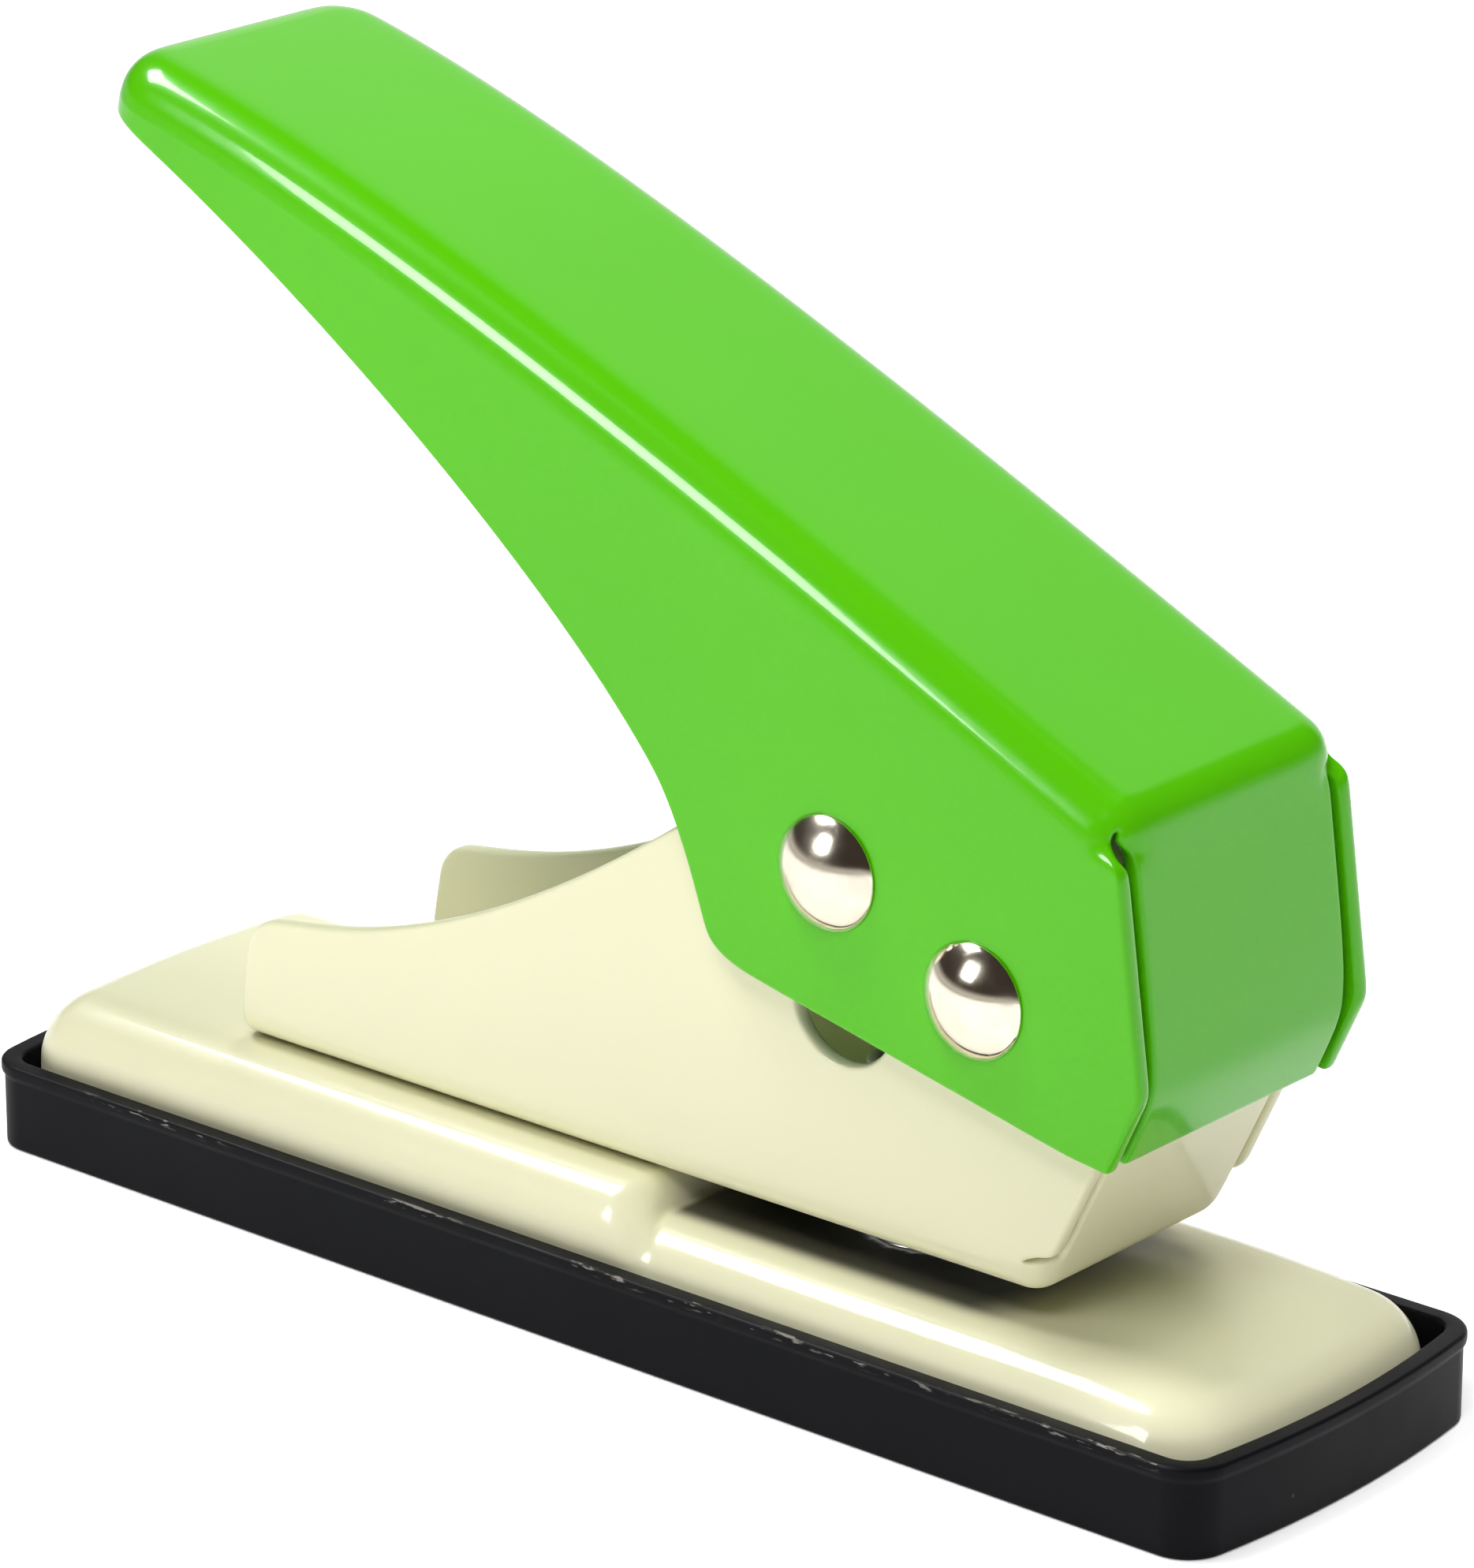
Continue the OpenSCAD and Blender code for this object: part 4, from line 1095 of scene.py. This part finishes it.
class HOLEPUNCH_OT_return_spring(bpy.types.Operator):
    """Winds the return spring, which is squeezed as the punch goes down"""

    bl_idname = "holepunch.return_spring"
    bl_label = "Return spring"

    def execute(self, context):
        wire = context.scene.punch_sizes.wire / MM
        coil_r, turns, dead, per_turn = 4.0, 6, 0.8, 36
        low, high = GUIDE_TOP_Z + wire / 2, RING_Z - wire / 2
        creep = wire * 0.25 * dead
        bm = bmesh.new()
        start = Matrix.Translation((PUNCH_X + coil_r, 0, low))
        start = start @ Matrix.Rotation(math.pi / 2, 4, "X")
        bmesh.ops.create_circle(bm, cap_ends=True, segments=14, radius=wire / 2, matrix=start)
        geom = bm.faces[:]
        parts = ((dead, creep), (turns - 2 * dead, high - low - 2 * creep), (dead, creep))
        for share, lift in parts:
            count = round(share * per_turn)
            spun = bmesh.ops.spin(
                bm, geom=geom, cent=(PUNCH_X, 0, 0), axis=Z, dvec=(0, 0, lift / count),
                angle=math.tau * share, steps=count)
            geom = [g for g in spun["geom_last"] if isinstance(g, bmesh.types.BMFace)]
        bmesh.ops.recalc_face_normals(bm, faces=bm.faces[:])
        obj = piece("return_spring_wound", bm, "chassis", "return_spring", "tool_steel")
        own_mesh(obj)
        return {"FINISHED"}


class HOLEPUNCH_OT_stage(bpy.types.Operator):
    """Sets the pale floor, the soft studio light and the camera"""

    bl_idname = "holepunch.stage"
    bl_label = "Stage"

    # Name, place, size and power of each lamp, and whether it only shines or only lights
    lamps = (
        ("Strip", (-0.33, -0.80, 0.5), (0.26, 0.3), 7.5, True),
        ("Window", (-0.53, -0.19, 0.84), (0.4, 0.3), 13.0, True),
        ("Top left", (-0.25, -0.2, 0.95), (0.3, 0.3), 5.2, False),
        ("Top right", (0.18, 0.18, 0.96), (0.3, 0.3), 2.6, False),
        ("Front", (0.3, -0.55, 0.79), (0.3, 0.3), 3.2, False),
        ("Back", (0, 0.5, 0.85), (0.3, 0.3), 2.4, False))

    def floor(self, context):
        made, n, shader = new_material("floor", {
            "Base Color": (*context.scene.punch_colours.floor, 1), "Roughness": 0.9,
            "Specular IOR Level": 0.1, "Emission Color": (1, 1, 1, 1)})
        seen = n.add("ShaderNodeLightPath").outputs
        at = n.place()
        x, y, _ = n.xyz(at)
        aside = n.plus(n.times(x, -0.5), n.maths("ABSOLUTE", y))
        bounce = n.times(seen["Is Diffuse Ray"], n.band(aside, 0.0, 0.06, 0.1, 1.15))
        far = n.add("ShaderNodeVectorMath", {0: at}, operation="LENGTH").outputs["Value"]
        glow = n.times(seen["Is Camera Ray"], n.band(far, 0.3, 1.2, 0.3, 1.0))
        shine = n.times(seen["Is Glossy Ray"], n.band(n.plus(x, y), 0.08, 0.2, 0.3, 0.85))
        n.join(n.plus(n.plus(glow, shine), bounce), shader.inputs["Emission Strength"])
        bm = bmesh.new()
        bmesh.ops.create_grid(bm, x_segments=1, y_segments=1, size=6)
        mesh_object("floor", bm, made)

    def aimed(self, data, place, away):
        """Adds a lamp or a camera that looks against a direction."""
        obj = bpy.data.objects.new(data.name, data)
        obj.location = place
        obj.rotation_euler = (-away).to_track_quat("-Z", "Y").to_euler()
        bpy.context.scene.collection.objects.link(obj)
        return obj

    def softbox(self, name, place, size, power, shines):
        data = bpy.data.lights.new(name, "AREA")
        data.shape = "RECTANGLE"
        data.size, data.size_y = size
        data.energy = power
        lamp = self.aimed(data, place, Vector(place) - Z * 0.03)
        lamp.visible_glossy, lamp.visible_diffuse = shines, not shines

    def world(self, context):
        world = bpy.data.worlds.new("Studio")
        context.scene.world = world
        world.use_nodes = True
        n = Nodes(world.node_tree)
        seen = n.add("ShaderNodeLightPath").outputs
        shown = n.maths("MAXIMUM", seen["Is Camera Ray"], seen["Is Transmission Ray"])
        x, y, z = n.xyz(n.add("ShaderNodeTexCoord").outputs["Generated"])
        low = n.band(z, 0.02, 0.16, 1.0, 0.0)
        behind = n.times(n.band(y, 0.4, 0.72), n.band(x, 0.02, 0.22, 1.0, 0.0))
        walls = n.blend(low, (0.045, 0.035, 0.03, 1), (0.6, 0.58, 0.55, 1))
        room = n.blend(behind, walls, (1.0, 0.98, 0.93, 1))
        lit = n.blend(seen["Is Glossy Ray"], (0.06, 0.06, 0.06, 1), room)
        background = world.node_tree.nodes["Background"]
        n.join(n.blend(shown, lit, (1, 1, 1, 1)), background.inputs["Color"])

    def camera(self, context):
        data = bpy.data.cameras.new("Camera")
        data.lens = 166.91
        data.sensor_width = 36
        data.shift_x, data.shift_y = 0.0038, 0.0004
        data.clip_start, data.clip_end = 0.01, 50
        aim = flat(2.556, 34.653) * MM
        azimuth, elevation, distance = math.radians(40.511), math.radians(19.679), 0.46585
        away = Vector((math.sin(azimuth) * math.cos(elevation),
                       -math.cos(azimuth) * math.cos(elevation), math.sin(elevation)))
        context.scene.camera = self.aimed(data, aim + away * distance, away)

    def execute(self, context):
        context.scene.view_settings.view_transform = "Standard"
        self.camera(context)
        self.floor(context)
        self.world(context)
        for lamp in self.lamps:
            self.softbox(*lamp)
        return {"FINISHED"}


class HOLEPUNCH_PT_panel(bpy.types.Panel):
    """Lists the pieces, their sizes and their colours"""

    bl_idname = "HOLEPUNCH_PT_panel"
    bl_label = "Hole punch"
    bl_space_type = "VIEW_3D"
    bl_region_type = "UI"
    bl_category = "Hole punch"

    def draw(self, context):
        for group in (context.scene.punch_sizes, context.scene.punch_colours):
            box = self.layout.box()
            for key in group.__annotations__:
                box.prop(group, key)
        for operator in OPERATORS:
            self.layout.operator(operator.bl_idname)


OPERATORS = (
    HOLEPUNCH_OT_stage,
    HOLEPUNCH_OT_chip_tray,
    HOLEPUNCH_OT_base,
    HOLEPUNCH_OT_frame,
    HOLEPUNCH_OT_lever,
    HOLEPUNCH_OT_rivets,
    HOLEPUNCH_OT_turned_pieces,
    HOLEPUNCH_OT_return_spring,
)
CLASSES = (PunchSizes, PunchColours, *OPERATORS, HOLEPUNCH_PT_panel)


def register():
    for cls in CLASSES:
        bpy.utils.register_class(cls)
    bpy.types.Scene.punch_sizes = bpy.props.PointerProperty(type=PunchSizes)
    bpy.types.Scene.punch_colours = bpy.props.PointerProperty(type=PunchColours)


def unregister():
    del bpy.types.Scene.punch_colours
    del bpy.types.Scene.punch_sizes
    for cls in reversed(CLASSES):
        bpy.utils.unregister_class(cls)


def main():
    register()
    for operator in OPERATORS:
        group, name = operator.bl_idname.split(".")
        getattr(getattr(bpy.ops, group), name)()


if __name__ == "__main__":
    main()
